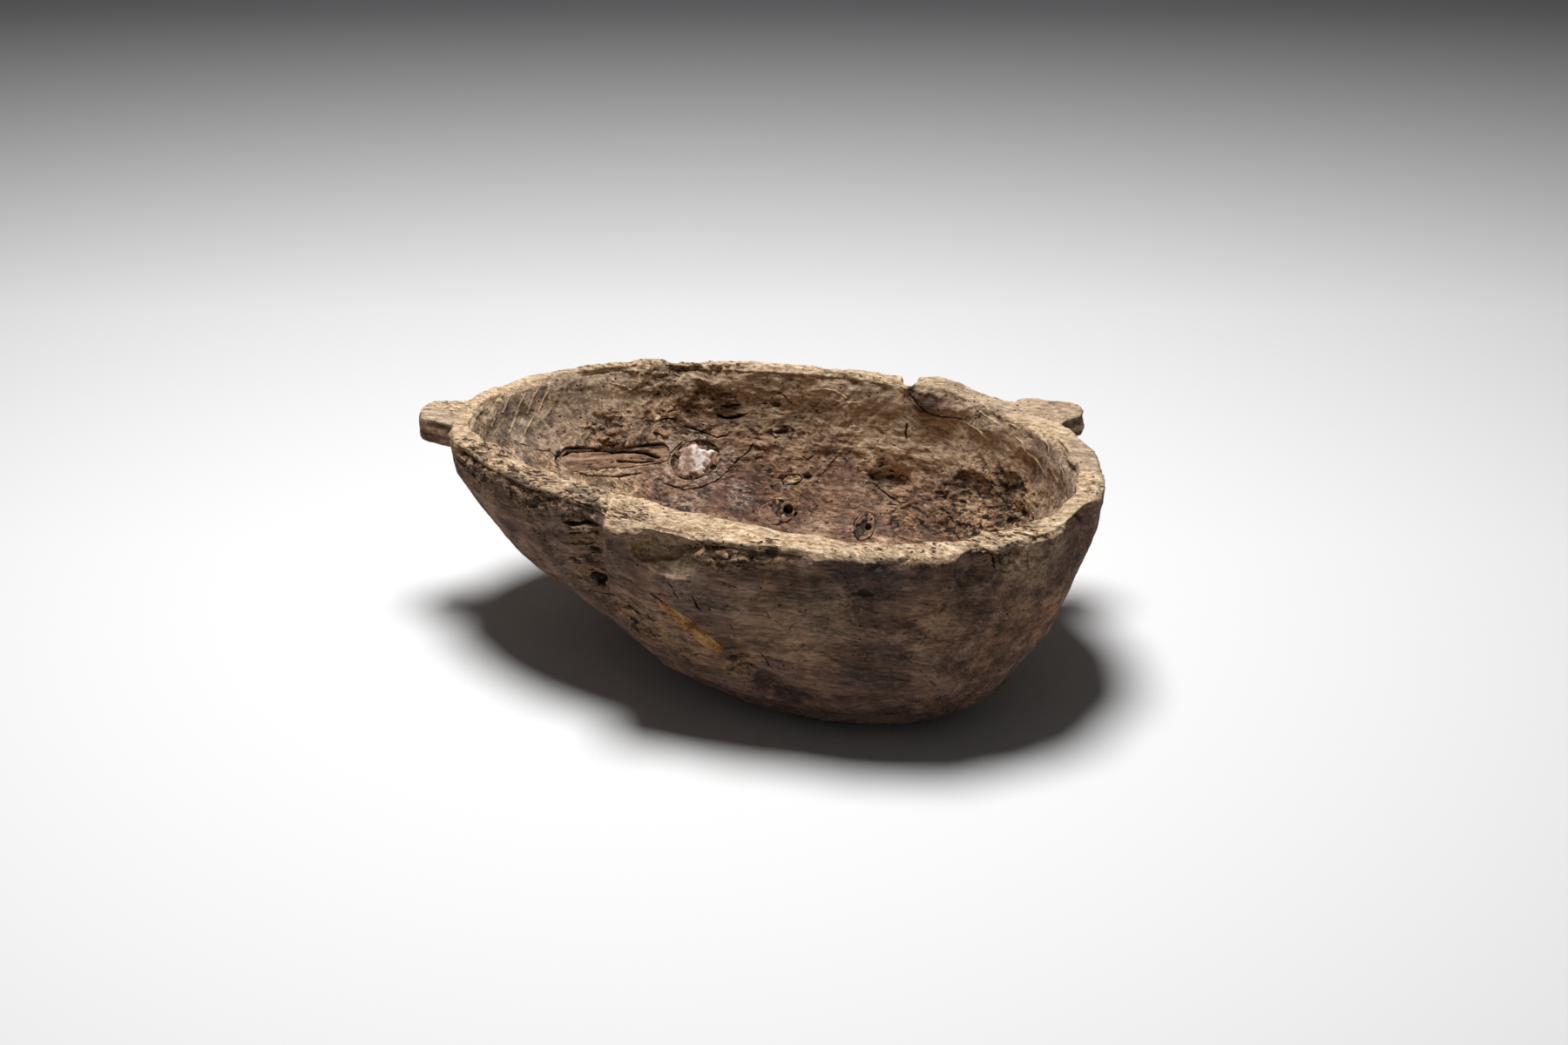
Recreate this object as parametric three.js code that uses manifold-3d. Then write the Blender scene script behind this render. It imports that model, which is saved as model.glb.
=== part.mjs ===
// A long oval bowl hollowed out of one log, with a lug left on its rim near each end to carry it by.
// Knots that the drying wood has let go of sit in its walls and floor like plugs.
// Millimetres, +Z up. The origin is on the ground, under the middle of the whole bowl.
// +X runs along the bowl from its narrow end to its wide end, and +Y points to its thin-walled back.
import * as THREE from "three";
import { mergeVertices } from "three/addons/utils/BufferGeometryUtils.js";
import Module from "manifold-3d";

const wasm = await Module();
wasm.setup();

// The log without its lugs
const bowlLength = 756;
const bowlWidth = 445;
const bowlHeight = 255;
const rimChamfer = 6;

// The worn flat that the bowl stands on, and where its middle lies from the middle of the rim
const restLength = 156;
const restWidth = 170;
const restForward = 94;
const restSideways = -36;

// The lowest part of the hollow
const floorThickness = 60;
const floorLength = 230;
const floorWidth = 170;
const floorForward = 70;
const floorSideways = -20;
const floorDish = 5;

// Values that change around the bowl, for eight directions from the wide end by way of the back
const wallThickness = [38, 44, 22, 26, 32, 44, 48, 44];
const logFullness = [1.75, 2.0, 2.7, 2.1, 1.7, 1.8, 2.8, 3.3];
const hollowFullness = [2.1, 2.1, 2.1, 1.8, 1.6, 1.8, 2.2, 2.3];

// The growth fold in the front wall, where the wall steps outwards towards the wide end
const foldPlace = 0.677;
const foldStep = 26;
const foldStepLength = 22;
const foldFadeLength = 230;
const foldFootRise = 0.15;

// The bulge in the back rim beside the notch
const bulge = { place: 0.183, length: 110, proud: 12 };

// The short square lug at the narrow end and the flat tongue beside the wide end
const stubLug = { place: 0.513, root: 66, tip: 54, reach: 38, thickness: 32, below: 2, turn: 0 };
const tongueLug = { place: 0.111, root: 82, tip: 50, reach: 45, thickness: 26, below: 1, turn: -0.48 };
const lugEdgeRound = 5;
const lugBite = 0.5;

// The notch in the back rim where the wood has split
const notch = { place: 0.205, width: 24, depth: 24, height: 42 };

// Hollows with a sharp edge that the axe has knocked out of the front rim, by how far they lie below it
const rimHollows = [
  { place: 0.7272, length: 86, height: 64, depth: 15, below: 22 },
  { place: 0.8975, length: 52, height: 62, depth: 14, below: 20 },
  { place: 0.9785, length: 94, height: 88, depth: 13, below: 10 },
];

// Smooth hollows that the axe, rot and wear have left in the outside and the inside
const outsideHollows = [
  { place: 0.6675, rise: 0.815, length: 60, width: 84, depth: 13, turn: 0.3 },
  { place: 0.776, rise: 0.6, length: 150, width: 60, depth: 10, turn: 0.91 },
  { place: 0.793, rise: 0.97, length: 96, width: 60, depth: 8, turn: 0 },
  { place: 0.8395, rise: 0.95, length: 96, width: 72, depth: 9, turn: 0 },
];
const insideHollows = [
  { place: 0.118, rise: 0.66, length: 150, width: 96, depth: 9, turn: 0 },
  { place: 0.2078, rise: 0.585, length: 76, width: 64, depth: 10, turn: 0 },
  { place: 0.3291, rise: 0.81, length: 110, width: 56, depth: 7, turn: 0 },
];

// The adze has left rows of shallow facets in both walls. They go no deeper than a share of the wall's
// thickness, end where the foot and the floor begin, and keep off the knots and the fillings.
const facet = { length: 68, insideDepth: 6.5, outsideDepth: 5, wallShare: 0.14, uneven: 0.4 };
const facetRows = 5;
const facetSteps = 3;
const facetFade = { end: 0.08, full: 0.3 };
const facetMargin = 8;
const facetChange = { column: 2.4, row: 1.7 };

// Knots and fillings: where they lie along the rim and up the wall, and their sizes
const clearance = 0.3;
const longKnot = { place: 0.4165, rise: 0.632, length: 132, head: 27, tail: 19, depth: 15, turn: 0.46 };
const longKnotGap = 3.6;
const gumLength = 26;
const gumSunk = 2;
const roundKnot = { place: 0.353, rise: 0.604, length: 58, width: 44, depth: 17, turn: 0 };
const crust = { length: 47, width: 34, thickness: 2.4, sunk: 1.6 };
const frontKnot = { place: 0.3, rise: 0.38, length: 42, width: 30, depth: 16, turn: 0 };
const frontKnotHole = { size: 10, depth: 9, aside: -13 };
const rightKnot = { place: 0.2216, rise: 0.35, length: 24, width: 34, depth: 15, turn: 0 };
const rightKnotHole = { size: 7, depth: 8, aside: -4 };
const rotChip = { place: 0.282, rise: 0.546, length: 22, width: 10, sunk: 3, thickness: 6, turn: -0.1 };
const rotPlug = { place: 0.7353, rise: 0.794, length: 70, width: 16, depth: 12, turn: 0.78 };

// The mesh: stations around the rim, steps up each wall, sides of a round plug and of a sharp hollow,
// how far a cutting solid reaches out of the wood's face, and the step that finds a wall's slope
const stations = 128;
const wallSteps = facetRows * facetSteps;
const plugSides = 28;
const hollowSides = 16;
const overcut = 30;
const slopeStep = 0.004;

// The rim's outer edge, as shares of half the length and half the width
const rimOutline = [
  [1.0, -0.02], [0.96, 0.34], [0.83, 0.64], [0.63, 0.85], [0.38, 0.95], [0.1, 0.95], [-0.24, 0.87],
  [-0.53, 0.75], [-0.75, 0.55], [-0.91, 0.28], [-1.0, -0.04], [-0.98, -0.35], [-0.86, -0.57],
  [-0.66, -0.76], [-0.4, -0.88], [-0.11, -0.96], [0.19, -1.0], [0.45, -0.96], [0.68, -0.82],
  [0.86, -0.56], [0.97, -0.28],
];
const rimCurve = new THREE.CatmullRomCurve3(
  rimOutline.map(([x, y]) => new THREE.Vector3((x * bowlLength) / 2, (y * bowlWidth) / 2, 0)),
  true,
);
const rimGirth = rimCurve.getLength();
const restCentre = new THREE.Vector3(restForward, restSideways, 0);
const floorCentre = new THREE.Vector3(floorForward, floorSideways, floorThickness);

// One of eight values given around the bowl, blended smoothly between the two nearest directions
function byDirection(values, point) {
  const turn = Math.atan2(point.y / bowlWidth, point.x / bowlLength) / (2 * Math.PI);
  const step = (turn + 1) * values.length;
  const first = Math.floor(step);
  const blend = THREE.MathUtils.smoothstep(step - first, 0, 1);
  return THREE.MathUtils.lerp(values[first % values.length], values[(first + 1) % values.length], blend);
}

// How far the front wall stands proud of the plain oval at one place on the rim
function foldOffset(place) {
  const past = (place - foldPlace) * rimGirth;
  const rise = THREE.MathUtils.smoothstep(past, 0, foldStepLength);
  const fade = THREE.MathUtils.smoothstep(past, foldStepLength, foldStepLength + foldFadeLength);
  return foldStep * rise * (1 - fade);
}

// How far the back rim bulges out at one place
function bulgeOffset(place) {
  const past = Math.abs(place - bulge.place) * rimGirth;
  return bulge.proud * (1 - THREE.MathUtils.smoothstep(past, 0, bulge.length / 2));
}

// The rim's outer and inner edge at one place, which runs from 0 to 1 around the bowl
function rimAt(place) {
  const turn = ((place % 1) + 1) % 1;
  const middle = rimCurve.getPointAt(turn);
  const along = rimCurve.getTangentAt(turn);
  const outward = new THREE.Vector3(along.y, -along.x, 0).normalize();
  const wall = byDirection(wallThickness, middle);
  const proud = foldOffset(turn) + bulgeOffset(turn);
  const outer = middle.clone().addScaledVector(outward, proud).setZ(bowlHeight);
  const plain = middle.clone().setZ(bowlHeight);
  const inner = middle.clone().addScaledVector(outward, -wall).setZ(bowlHeight);
  return { outer, plain, inner, outward, wall };
}

// A point on a wall that rises from an oval foot to the rim, where rise runs from 0 to 1
function wallPoint(top, centre, length, width, fullness, rise) {
  const angle = Math.atan2((top.y - centre.y) / width, (top.x - centre.x) / length);
  const footX = centre.x + (Math.cos(angle) * length) / 2;
  const footY = centre.y + (Math.sin(angle) * width) / 2;
  const power = 2 / fullness;
  const out = Math.sin((rise * Math.PI) / 2) ** power;
  const up = 1 - Math.cos((rise * Math.PI) / 2) ** power;
  return new THREE.Vector3(
    THREE.MathUtils.lerp(footX, top.x, out),
    THREE.MathUtils.lerp(footY, top.y, out),
    THREE.MathUtils.lerp(centre.z, top.z, up),
  );
}

// The fold and the bulge stand proud at the rim and die out on their way down to the foot
function outsideAt(place, rise) {
  const { outer, plain } = rimAt(place);
  const fullness = byDirection(logFullness, plain);
  const proud = THREE.MathUtils.smoothstep(rise, foldFootRise, 1);
  const top = plain.lerp(outer, proud);
  top.z -= rimChamfer;
  return wallPoint(top, restCentre, restLength, restWidth, fullness, rise);
}

function insideAt(place, rise) {
  const top = rimAt(place).inner;
  const fullness = byDirection(hollowFullness, top);
  top.z -= rimChamfer;
  return wallPoint(top, floorCentre, floorLength, floorWidth, fullness, rise);
}

// Each wall: its smooth face, the side it faces, the girth of its foot, the depth of its facets,
// how many rows they are shifted by, so that the last row cuts into the rim, and what is let into it
const outside = {
  pointAt: outsideAt,
  facing: -1,
  footGirth: (Math.PI * (restLength + restWidth)) / 2,
  depth: facet.outsideDepth,
  shift: 1 - 1 / facetSteps,
  hollows: outsideHollows,
  pieces: [rotPlug],
};
const inside = {
  pointAt: insideAt,
  facing: 1,
  footGirth: (Math.PI * (floorLength + floorWidth)) / 2,
  depth: facet.insideDepth,
  shift: 1 / facetSteps,
  hollows: insideHollows,
  pieces: [longKnot, roundKnot, frontKnot, rightKnot, rotChip],
};

// The directions along, up and into a wall's smooth face
function wallDirections({ pointAt, facing }, place, rise) {
  const above = Math.min(1, rise + slopeStep);
  const below = Math.max(0, rise - slopeStep);
  const along = pointAt(place + slopeStep, rise).sub(pointAt(place - slopeStep, rise));
  const upward = pointAt(place, above).sub(pointAt(place, below));
  const inward = along.cross(upward).multiplyScalar(facing).normalize();
  return { upward, inward };
}

// A frame on a wall: Z goes into the wood, Y up the wall, and X to the left of someone who faces it
function wallFrame(wall, { place, rise, turn }) {
  const { upward, inward } = wallDirections(wall, place, rise);
  const level = upward.cross(inward).normalize();
  const up = inward.clone().cross(level);
  const frame = new THREE.Matrix4().makeBasis(level, up, inward).setPosition(wall.pointAt(place, rise));
  return frame.multiply(new THREE.Matrix4().makeRotationZ(turn));
}

// How deep the smooth hollows are at one point
const hollowFrames = new Map();
for (const wall of [outside, inside]) {
  for (const hollow of wall.hollows) hollowFrames.set(hollow, wallFrame(wall, hollow).invert());
}

function hollowAt(wall, point) {
  let depth = 0;
  for (const hollow of wall.hollows) {
    const { x, y, z } = point.clone().applyMatrix4(hollowFrames.get(hollow));
    const away = 2 * Math.hypot(x / hollow.length, y / hollow.width, z / hollow.length);
    depth += hollow.depth * (1 - THREE.MathUtils.smoothstep(away, 0, 1));
  }
  return depth;
}

// How much of a bite's depth is left at one point: none at the pieces that are let in
function awayFromPieces({ pointAt, pieces }, point) {
  let share = 1;
  for (const { place, rise, length, width = 0 } of pieces) {
    const away = point.distanceTo(pointAt(place, rise)) - Math.max(length, width) / 2;
    share = Math.min(share, THREE.MathUtils.smoothstep(away, facetMargin, facetMargin + facet.length / 2));
  }
  return share;
}

// How deep the wall is cut in. A row holds a whole number of facets and lies half a facet on from the last.
function biteAt(wall, place, rise) {
  const height = rise * facetRows + wall.shift;
  const row = Math.floor(height);
  const girth = THREE.MathUtils.lerp(wall.footGirth, rimGirth, Math.min(1, row / facetRows));
  const count = Math.round(girth / facet.length);
  const along = place * count + row / 2;
  const column = ((Math.floor(along) % count) + count) % count;
  const across = 2 * (along - Math.floor(along)) - 1;
  const up = 2 * (height - row) - 1;
  const change = 0.5 + 0.5 * Math.sin(facetChange.column * column + facetChange.row * row);
  const fade = THREE.MathUtils.smoothstep(rise, facetFade.end, facetFade.full);
  const deepest = Math.min(wall.depth, rimAt(place).wall * facet.wallShare);
  const shape = (1 - across ** 2) * (1 - up ** 2);
  const adzed = deepest * shape * (1 - facet.uneven * change) * fade;
  const point = wall.pointAt(place, rise);
  return (adzed + hollowAt(wall, point)) * awayFromPieces(wall, point);
}

function adzedPoint(wall, place, rise) {
  const { inward } = wallDirections(wall, place, rise);
  return wall.pointAt(place, rise).addScaledVector(inward, biteAt(wall, place, rise));
}

// The section of the log at one place, from the edge of its foot over the rim to the edge of its floor
function sectionAt(place) {
  const { outer, inner, outward } = rimAt(place);
  const points = [];
  for (let i = 0; i <= wallSteps; i++) points.push(adzedPoint(outside, place, i / wallSteps));
  points.push(outer.addScaledVector(outward, -rimChamfer - biteAt(outside, place, 1)));
  points.push(inner.addScaledVector(outward, rimChamfer + biteAt(inside, place, 1)));
  for (let i = wallSteps; i >= 0; i--) points.push(adzedPoint(inside, place, i / wallSteps));
  return points;
}

// A closed skin over sections that run around the bowl, with a pole at each end of every section
function skin(sections, startPole, endPole) {
  const rows = sections[0].length;
  const positions = [...startPole.toArray(), ...endPole.toArray()];
  for (const section of sections) for (const point of section) positions.push(...point.toArray());
  const at = (station, row) => 2 + (station % sections.length) * rows + row;
  const faces = [];
  for (let s = 0; s < sections.length; s++) {
    faces.push(0, at(s + 1, 0), at(s, 0));
    for (let r = 0; r + 1 < rows; r++) {
      faces.push(at(s, r), at(s + 1, r), at(s + 1, r + 1));
      faces.push(at(s, r), at(s + 1, r + 1), at(s, r + 1));
    }
    faces.push(1, at(s, rows - 1), at(s + 1, rows - 1));
  }
  const geometry = new THREE.BufferGeometry();
  geometry.setAttribute("position", new THREE.Float32BufferAttribute(positions, 3));
  geometry.setIndex(faces);
  return geometry;
}

// Solids that can be joined and cut, and their way back to a mesh
function solid(geometry, matrix = new THREE.Matrix4()) {
  const bare = geometry.clone().applyMatrix4(matrix);
  bare.deleteAttribute("normal");
  bare.deleteAttribute("uv");
  const merged = mergeVertices(bare, 1e-4);
  return new wasm.Manifold(
    new wasm.Mesh({
      numProp: 3,
      vertProperties: new Float32Array(merged.attributes.position.array),
      triVerts: new Uint32Array(merged.index.array),
    }),
  );
}

function meshOf(name, shape, material) {
  const { vertProperties, triVerts } = shape.getMesh();
  const geometry = new THREE.BufferGeometry();
  geometry.setAttribute("position", new THREE.Float32BufferAttribute(vertProperties, 3));
  geometry.setIndex([...triVerts]);
  const mesh = new THREE.Mesh(geometry, material);
  mesh.name = name;
  return mesh;
}

// An outline extruded along its frame's Z axis, from one depth under the wall's face to another
function plug(outline, frame, fromDepth, toDepth) {
  const geometry = new THREE.ExtrudeGeometry(outline, {
    depth: toDepth - fromDepth,
    bevelEnabled: false,
    curveSegments: plugSides / 2,
  });
  return solid(geometry.translate(0, 0, fromDepth), frame);
}

function ovalOutline(length, width, grow = 0) {
  return new THREE.Shape().absellipse(0, 0, length / 2 + grow, width / 2 + grow, 0, 2 * Math.PI);
}

// A long outline with a round head and a smaller round tail, grown on all sides and shifted up
function slotOutline({ length, head, tail }, grow = 0, shift = 0) {
  const headAt = (length - head) / 2;
  const tailAt = (tail - length) / 2;
  const outline = new THREE.Shape();
  outline.absarc(headAt, shift, head / 2 + grow, -Math.PI / 2, Math.PI / 2);
  outline.absarc(tailAt, shift, tail / 2 + grow, Math.PI / 2, (3 * Math.PI) / 2);
  outline.closePath();
  return outline;
}

// A frame on the rim's outer edge, at some height: X runs along the rim, Y outwards and Z up
function rimFrame(place, height) {
  const { outer, outward } = rimAt(place);
  const up = new THREE.Vector3(0, 0, 1);
  const along = outward.clone().cross(up);
  return new THREE.Matrix4().makeBasis(along, outward, up).setPosition(outer.setZ(height));
}

// A lug's plan runs from its bite in the rim to a rounded tip
function lugSolid(lug) {
  const bite = rimAt(lug.place).wall * lugBite;
  const half = lug.root / 2 - lugEdgeRound;
  const tip = lug.tip / 2 - lugEdgeRound;
  const reach = lug.reach - lugEdgeRound;
  const outline = new THREE.Shape();
  outline.moveTo(half, -bite);
  outline.bezierCurveTo(half, reach * 0.3, tip, reach * 0.1, tip, reach * 0.6);
  outline.bezierCurveTo(tip, reach * 1.14, -tip, reach * 1.14, -tip, reach * 0.6);
  outline.bezierCurveTo(-tip, reach * 0.1, -half, reach * 0.3, -half, -bite);
  const geometry = new THREE.ExtrudeGeometry(outline, {
    depth: lug.thickness - 2 * lugEdgeRound,
    bevelThickness: lugEdgeRound,
    bevelSize: lugEdgeRound,
    bevelSegments: 2,
    curveSegments: 6,
  });
  const underside = bowlHeight - lug.below - lug.thickness;
  return solid(geometry.rotateZ(lug.turn), rimFrame(lug.place, underside + lugEdgeRound));
}

// The notch is a wedge that opens outwards and upwards
function notchSolid() {
  const outline = new THREE.Shape();
  outline.moveTo(0, -notch.depth);
  outline.lineTo(notch.width, notch.depth);
  outline.lineTo(-notch.width, notch.depth);
  outline.closePath();
  const geometry = new THREE.ExtrudeGeometry(outline, { depth: notch.height * 2, bevelEnabled: false });
  return solid(geometry, rimFrame(notch.place, bowlHeight - notch.height));
}

// A sharp-edged oval hollow in the rim's outer edge
function rimHollow({ place, length, height, depth, below }) {
  const geometry = new THREE.SphereGeometry(1, hollowSides, hollowSides / 2);
  geometry.scale(length / 2, depth, height / 2);
  return solid(geometry, rimFrame(place, bowlHeight - below));
}

// The whole log, hollowed and with its lugs, before anything is let into it
const sections = [];
for (let s = 0; s < stations; s++) sections.push(sectionAt(s / stations));
const floorPole = floorCentre.clone().setZ(floorThickness - floorDish);
let log = solid(skin(sections, restCentre, floorPole))
  .add(lugSolid(stubLug))
  .add(lugSolid(tongueLug))
  .subtract(notchSolid());
for (const hollow of rimHollows) log = log.subtract(rimHollow(hollow));

const material = {
  wood: new THREE.MeshStandardMaterial({ color: 0x7d654b, roughness: 0.9, metalness: 0 }),
  knot: new THREE.MeshStandardMaterial({ color: 0x5a4636, roughness: 0.85, metalness: 0 }),
  gum: new THREE.MeshStandardMaterial({ color: 0x14100d, roughness: 0.35, metalness: 0 }),
  crust: new THREE.MeshStandardMaterial({ color: 0xcfc3b8, roughness: 0.95, metalness: 0 }),
  rot: new THREE.MeshStandardMaterial({ color: 0xa8794a, roughness: 0.95, metalness: 0 }),
};

const bowl = new THREE.Group();
let body = log;

// A piece is let into the wood: its pocket is cut from the body, and the piece is trimmed to the wall's face
function letIn(name, piece, pocket, finish) {
  body = body.subtract(pocket);
  bowl.add(meshOf(name, piece.intersect(log), finish));
}

// The long knot sits at the lower side of its pocket, and gum fills the gap around its head
const longFrame = wallFrame(inside, longKnot);
const sideGrow = (longKnotGap + clearance) / 2;
const sideShift = (longKnotGap - clearance) / 2;
const longPiece = plug(slotOutline(longKnot), longFrame, -overcut, longKnot.depth);
const longPocket = plug(
  slotOutline(longKnot, sideGrow, sideShift), longFrame, -overcut, longKnot.depth + clearance,
);
const gumRing = plug(
  slotOutline(longKnot, sideGrow - clearance, sideShift), longFrame, gumSunk, longKnot.depth,
).subtract(plug(slotOutline(longKnot, clearance), longFrame, -overcut, longKnot.depth + overcut));
const headWindow = solid(
  new THREE.BoxGeometry(gumLength, longKnot.head * 2, overcut * 4).translate(
    (longKnot.length - gumLength) / 2 + longKnotGap, 0, 0,
  ),
  longFrame,
);
letIn("long_knot", longPiece, longPocket, material.knot);
letIn("knot_gum", gumRing.intersect(headWindow), longPocket, material.gum);

// The round knot's face lies a little under the wall's face and carries the crust
const roundFrame = wallFrame(inside, roundKnot);
const roundDepth = crust.sunk + roundKnot.depth;
const roundPiece = plug(
  ovalOutline(roundKnot.length, roundKnot.width), roundFrame, crust.sunk, roundDepth,
);
const roundPocket = plug(
  ovalOutline(roundKnot.length, roundKnot.width, clearance), roundFrame, -overcut, roundDepth + clearance,
);
letIn("round_knot", roundPiece, roundPocket, material.knot);
const crustTop = crust.sunk - clearance - crust.thickness;
const crustPiece = plug(
  ovalOutline(crust.length, crust.width), roundFrame, crustTop, crust.sunk - clearance,
);
bowl.add(meshOf("mineral_crust", crustPiece, material.crust));

// The two floor knots have lost their hearts, which leaves a blind hole in each
function hollowKnot(name, knot, hole) {
  const frame = wallFrame(inside, knot);
  const pocket = plug(
    ovalOutline(knot.length, knot.width, clearance), frame, -overcut, knot.depth + clearance,
  );
  const aside = frame.clone().multiply(new THREE.Matrix4().makeTranslation(hole.aside, 0, 0));
  const bore = plug(ovalOutline(hole.size, hole.size), aside, -overcut, hole.depth);
  const piece = plug(ovalOutline(knot.length, knot.width), frame, -overcut, knot.depth);
  letIn(name, piece.subtract(bore), pocket, material.knot);
}
hollowKnot("floor_knot_front", frontKnot, frontKnotHole);
hollowKnot("floor_knot_right", rightKnot, rightKnotHole);

// The chip lies at the bottom of its pit
const chipFrame = wallFrame(inside, rotChip);
const chipDepth = rotChip.sunk + rotChip.thickness;
letIn(
  "rot_chip",
  plug(ovalOutline(rotChip.length, rotChip.width), chipFrame, rotChip.sunk, chipDepth),
  plug(ovalOutline(rotChip.length, rotChip.width, clearance), chipFrame, -overcut, chipDepth + clearance),
  material.rot,
);

// The rotten filling in the outside of the front wall
const rotFrame = wallFrame(outside, rotPlug);
letIn(
  "rot_plug",
  plug(ovalOutline(rotPlug.length, rotPlug.width), rotFrame, -overcut, rotPlug.depth),
  plug(ovalOutline(rotPlug.length, rotPlug.width, clearance), rotFrame, -overcut, rotPlug.depth + clearance),
  material.rot,
);
bowl.add(meshOf("bowl_body", body, material.wood));

// The origin goes under the middle of the whole bowl
const box = new THREE.Box3().setFromObject(bowl);
const middle = box.getCenter(new THREE.Vector3());
bowl.position.set(-middle.x, -middle.y, -box.min.z);

export default bowl;
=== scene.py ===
import bmesh
import bpy
import numpy as np
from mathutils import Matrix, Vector
from mathutils.bvhtree import BVHTree


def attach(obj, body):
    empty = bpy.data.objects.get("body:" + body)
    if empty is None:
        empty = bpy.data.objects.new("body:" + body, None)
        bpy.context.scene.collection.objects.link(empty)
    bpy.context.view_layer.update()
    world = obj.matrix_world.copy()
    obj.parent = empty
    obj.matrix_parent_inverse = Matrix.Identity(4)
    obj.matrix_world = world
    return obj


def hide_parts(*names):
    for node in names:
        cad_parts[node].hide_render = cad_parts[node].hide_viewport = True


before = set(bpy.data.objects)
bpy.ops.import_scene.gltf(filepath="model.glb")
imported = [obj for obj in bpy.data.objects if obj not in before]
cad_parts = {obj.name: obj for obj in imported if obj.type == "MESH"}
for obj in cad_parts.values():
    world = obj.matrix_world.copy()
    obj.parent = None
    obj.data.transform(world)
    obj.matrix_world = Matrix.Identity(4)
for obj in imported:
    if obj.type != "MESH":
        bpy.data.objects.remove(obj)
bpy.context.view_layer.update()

millimetre = 0.001

fine_step, coarse_step = 1.7, 4.0
spine_ends = (-210, 170)
rim_heights = (236, 248)
hollow_middle = np.array((20.0, 0.0, 250.0))

# The studio, in metres and watts, with the world's strength as a share of white
floor_reach = 14.0
away_from_camera = (-0.309, 0.951, 0.0)
floor_greys_from, floor_greys_to = 0.2, 2.4
softbox_place = Vector((-0.25, 0.2, 3.0))
softbox_target = Vector((0.0, 0.0, 0.1))
softbox_width, softbox_power = 1.05, 112
world_strength = 0.05

# For a Mix node that blends colours: its data type, and which of its outputs gives them
in_colour = {"data_type": "RGBA", "out": 2}


# The view

photo_wide, photo_high = 1800, 1200
camera_place = Vector((0.834, -2.459, 1.650))
camera_target = Vector((0.0312, 0.0116, 0.150))
lens_length, film_width = 60.0, 36.0
pixels_to_lens = lens_length / film_width * photo_wide
# How far from the camera the bowl may be, in metres
bowl_reaches = np.arange(2.4, 3.6, 0.01)

camera_data = bpy.data.cameras.new("view")
camera_data.lens = lens_length
camera_data.sensor_width = film_width
camera = bpy.data.objects.new("view", camera_data)
camera.location = camera_place
camera.rotation_euler = (camera_target - camera_place).to_track_quat("-Z", "Y").to_euler()
bpy.context.scene.collection.objects.link(camera)
bpy.context.scene.camera = camera
camera_turn = camera.rotation_euler.to_matrix()


def all_cad_faces():
    """Every CAD node's surface in one search tree, in metres."""
    points = []
    faces = []
    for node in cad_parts.values():
        start = len(points)
        points += [v.co.copy() for v in node.data.vertices]
        faces += [[start + i for i in face.vertices] for face in node.data.polygons]
    return BVHTree.FromPolygons(points, faces)


cad_surface = all_cad_faces()


def seen_at(spot):
    """The point of the bowl that the photograph shows at one of its pixels, or the nearest, in mm."""
    right, down = spot
    way = camera_turn @ Vector((right - photo_wide / 2, photo_high / 2 - down, -pixels_to_lens))
    way.normalize()
    hit = cad_surface.ray_cast(camera_place, way)[0]
    if hit is None:
        near = [cad_surface.find_nearest(camera_place + way * reach) for reach in bowl_reaches]
        hit = min(near, key=lambda found: found[3])[0]
    return np.array(hit) / millimetre


# Noise and distance, all in millimetres

# Noise counts its cells from here, so that their numbers stay above 0 anywhere on the bowl
first_cell = 1000


def rise(values, low, high):
    """From 0 at low to 1 at high, with soft ends."""
    t = np.clip((values - low) / (high - low), 0, 1)
    return t * t * (3 - 2 * t)


def scatter(i, j, k, seed):
    """A fixed number from 0 to 1 for each whole-numbered corner of space. Large odd numbers mix them well."""
    mixed = i * 374761393 + j * 668265263 + k * 1442695041 + seed * 974634777
    mixed = (mixed ^ (mixed >> 13)) & 0x7FFFFFFF
    mixed = (mixed * 1274126177) & 0x7FFFFFFF
    mixed = (mixed ^ (mixed >> 16)) * 2246822519 & 0x7FFFFFFF
    return (mixed ^ (mixed >> 15)) / 0x7FFFFFFF


def lumps(points, size, seed):
    """Smooth lumps and hollows of about one size, from -1 to 1."""
    spread = points / size + first_cell
    corner = np.floor(spread).astype(np.int64)
    t = spread - corner
    t = t * t * (3 - 2 * t)
    total = 0
    for a in (0, 1):
        for b in (0, 1):
            for c in (0, 1):
                share = np.abs(1 - a - t[:, 0]) * np.abs(1 - b - t[:, 1]) * np.abs(1 - c - t[:, 2])
                total = total + share * scatter(corner[:, 0] + a, corner[:, 1] + b, corner[:, 2] + c, seed)
    return total * 2 - 1


def rough(points, size, seed, layers=3):
    """Lumps on lumps, each layer half the size and half the height of the last."""
    total = 0
    for layer in range(layers):
        total = total + lumps(points, size / 2**layer, seed + layer) / 2**layer
    return total / (2 - 0.5 ** (layers - 1))


def furrows(points, size, seed, layers=2):
    """From 0 on a crest to 1 along narrow, branching furrows."""
    total = 0
    for layer in range(layers):
        total = total + (1 - np.abs(lumps(points, size / 2**layer, seed + layer)) * 2.2).clip(0, 1) / 2**layer
    return total / (2 - 0.5 ** (layers - 1))


def pitted(points, size, seed, cover):
    """1 in sharp-edged pits of about one size and 0 between them, where cover is the share that they take."""
    return rise(rough(points, size, seed), 0.34 - 0.68 * cover, 0.46 - 0.68 * cover)


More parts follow.
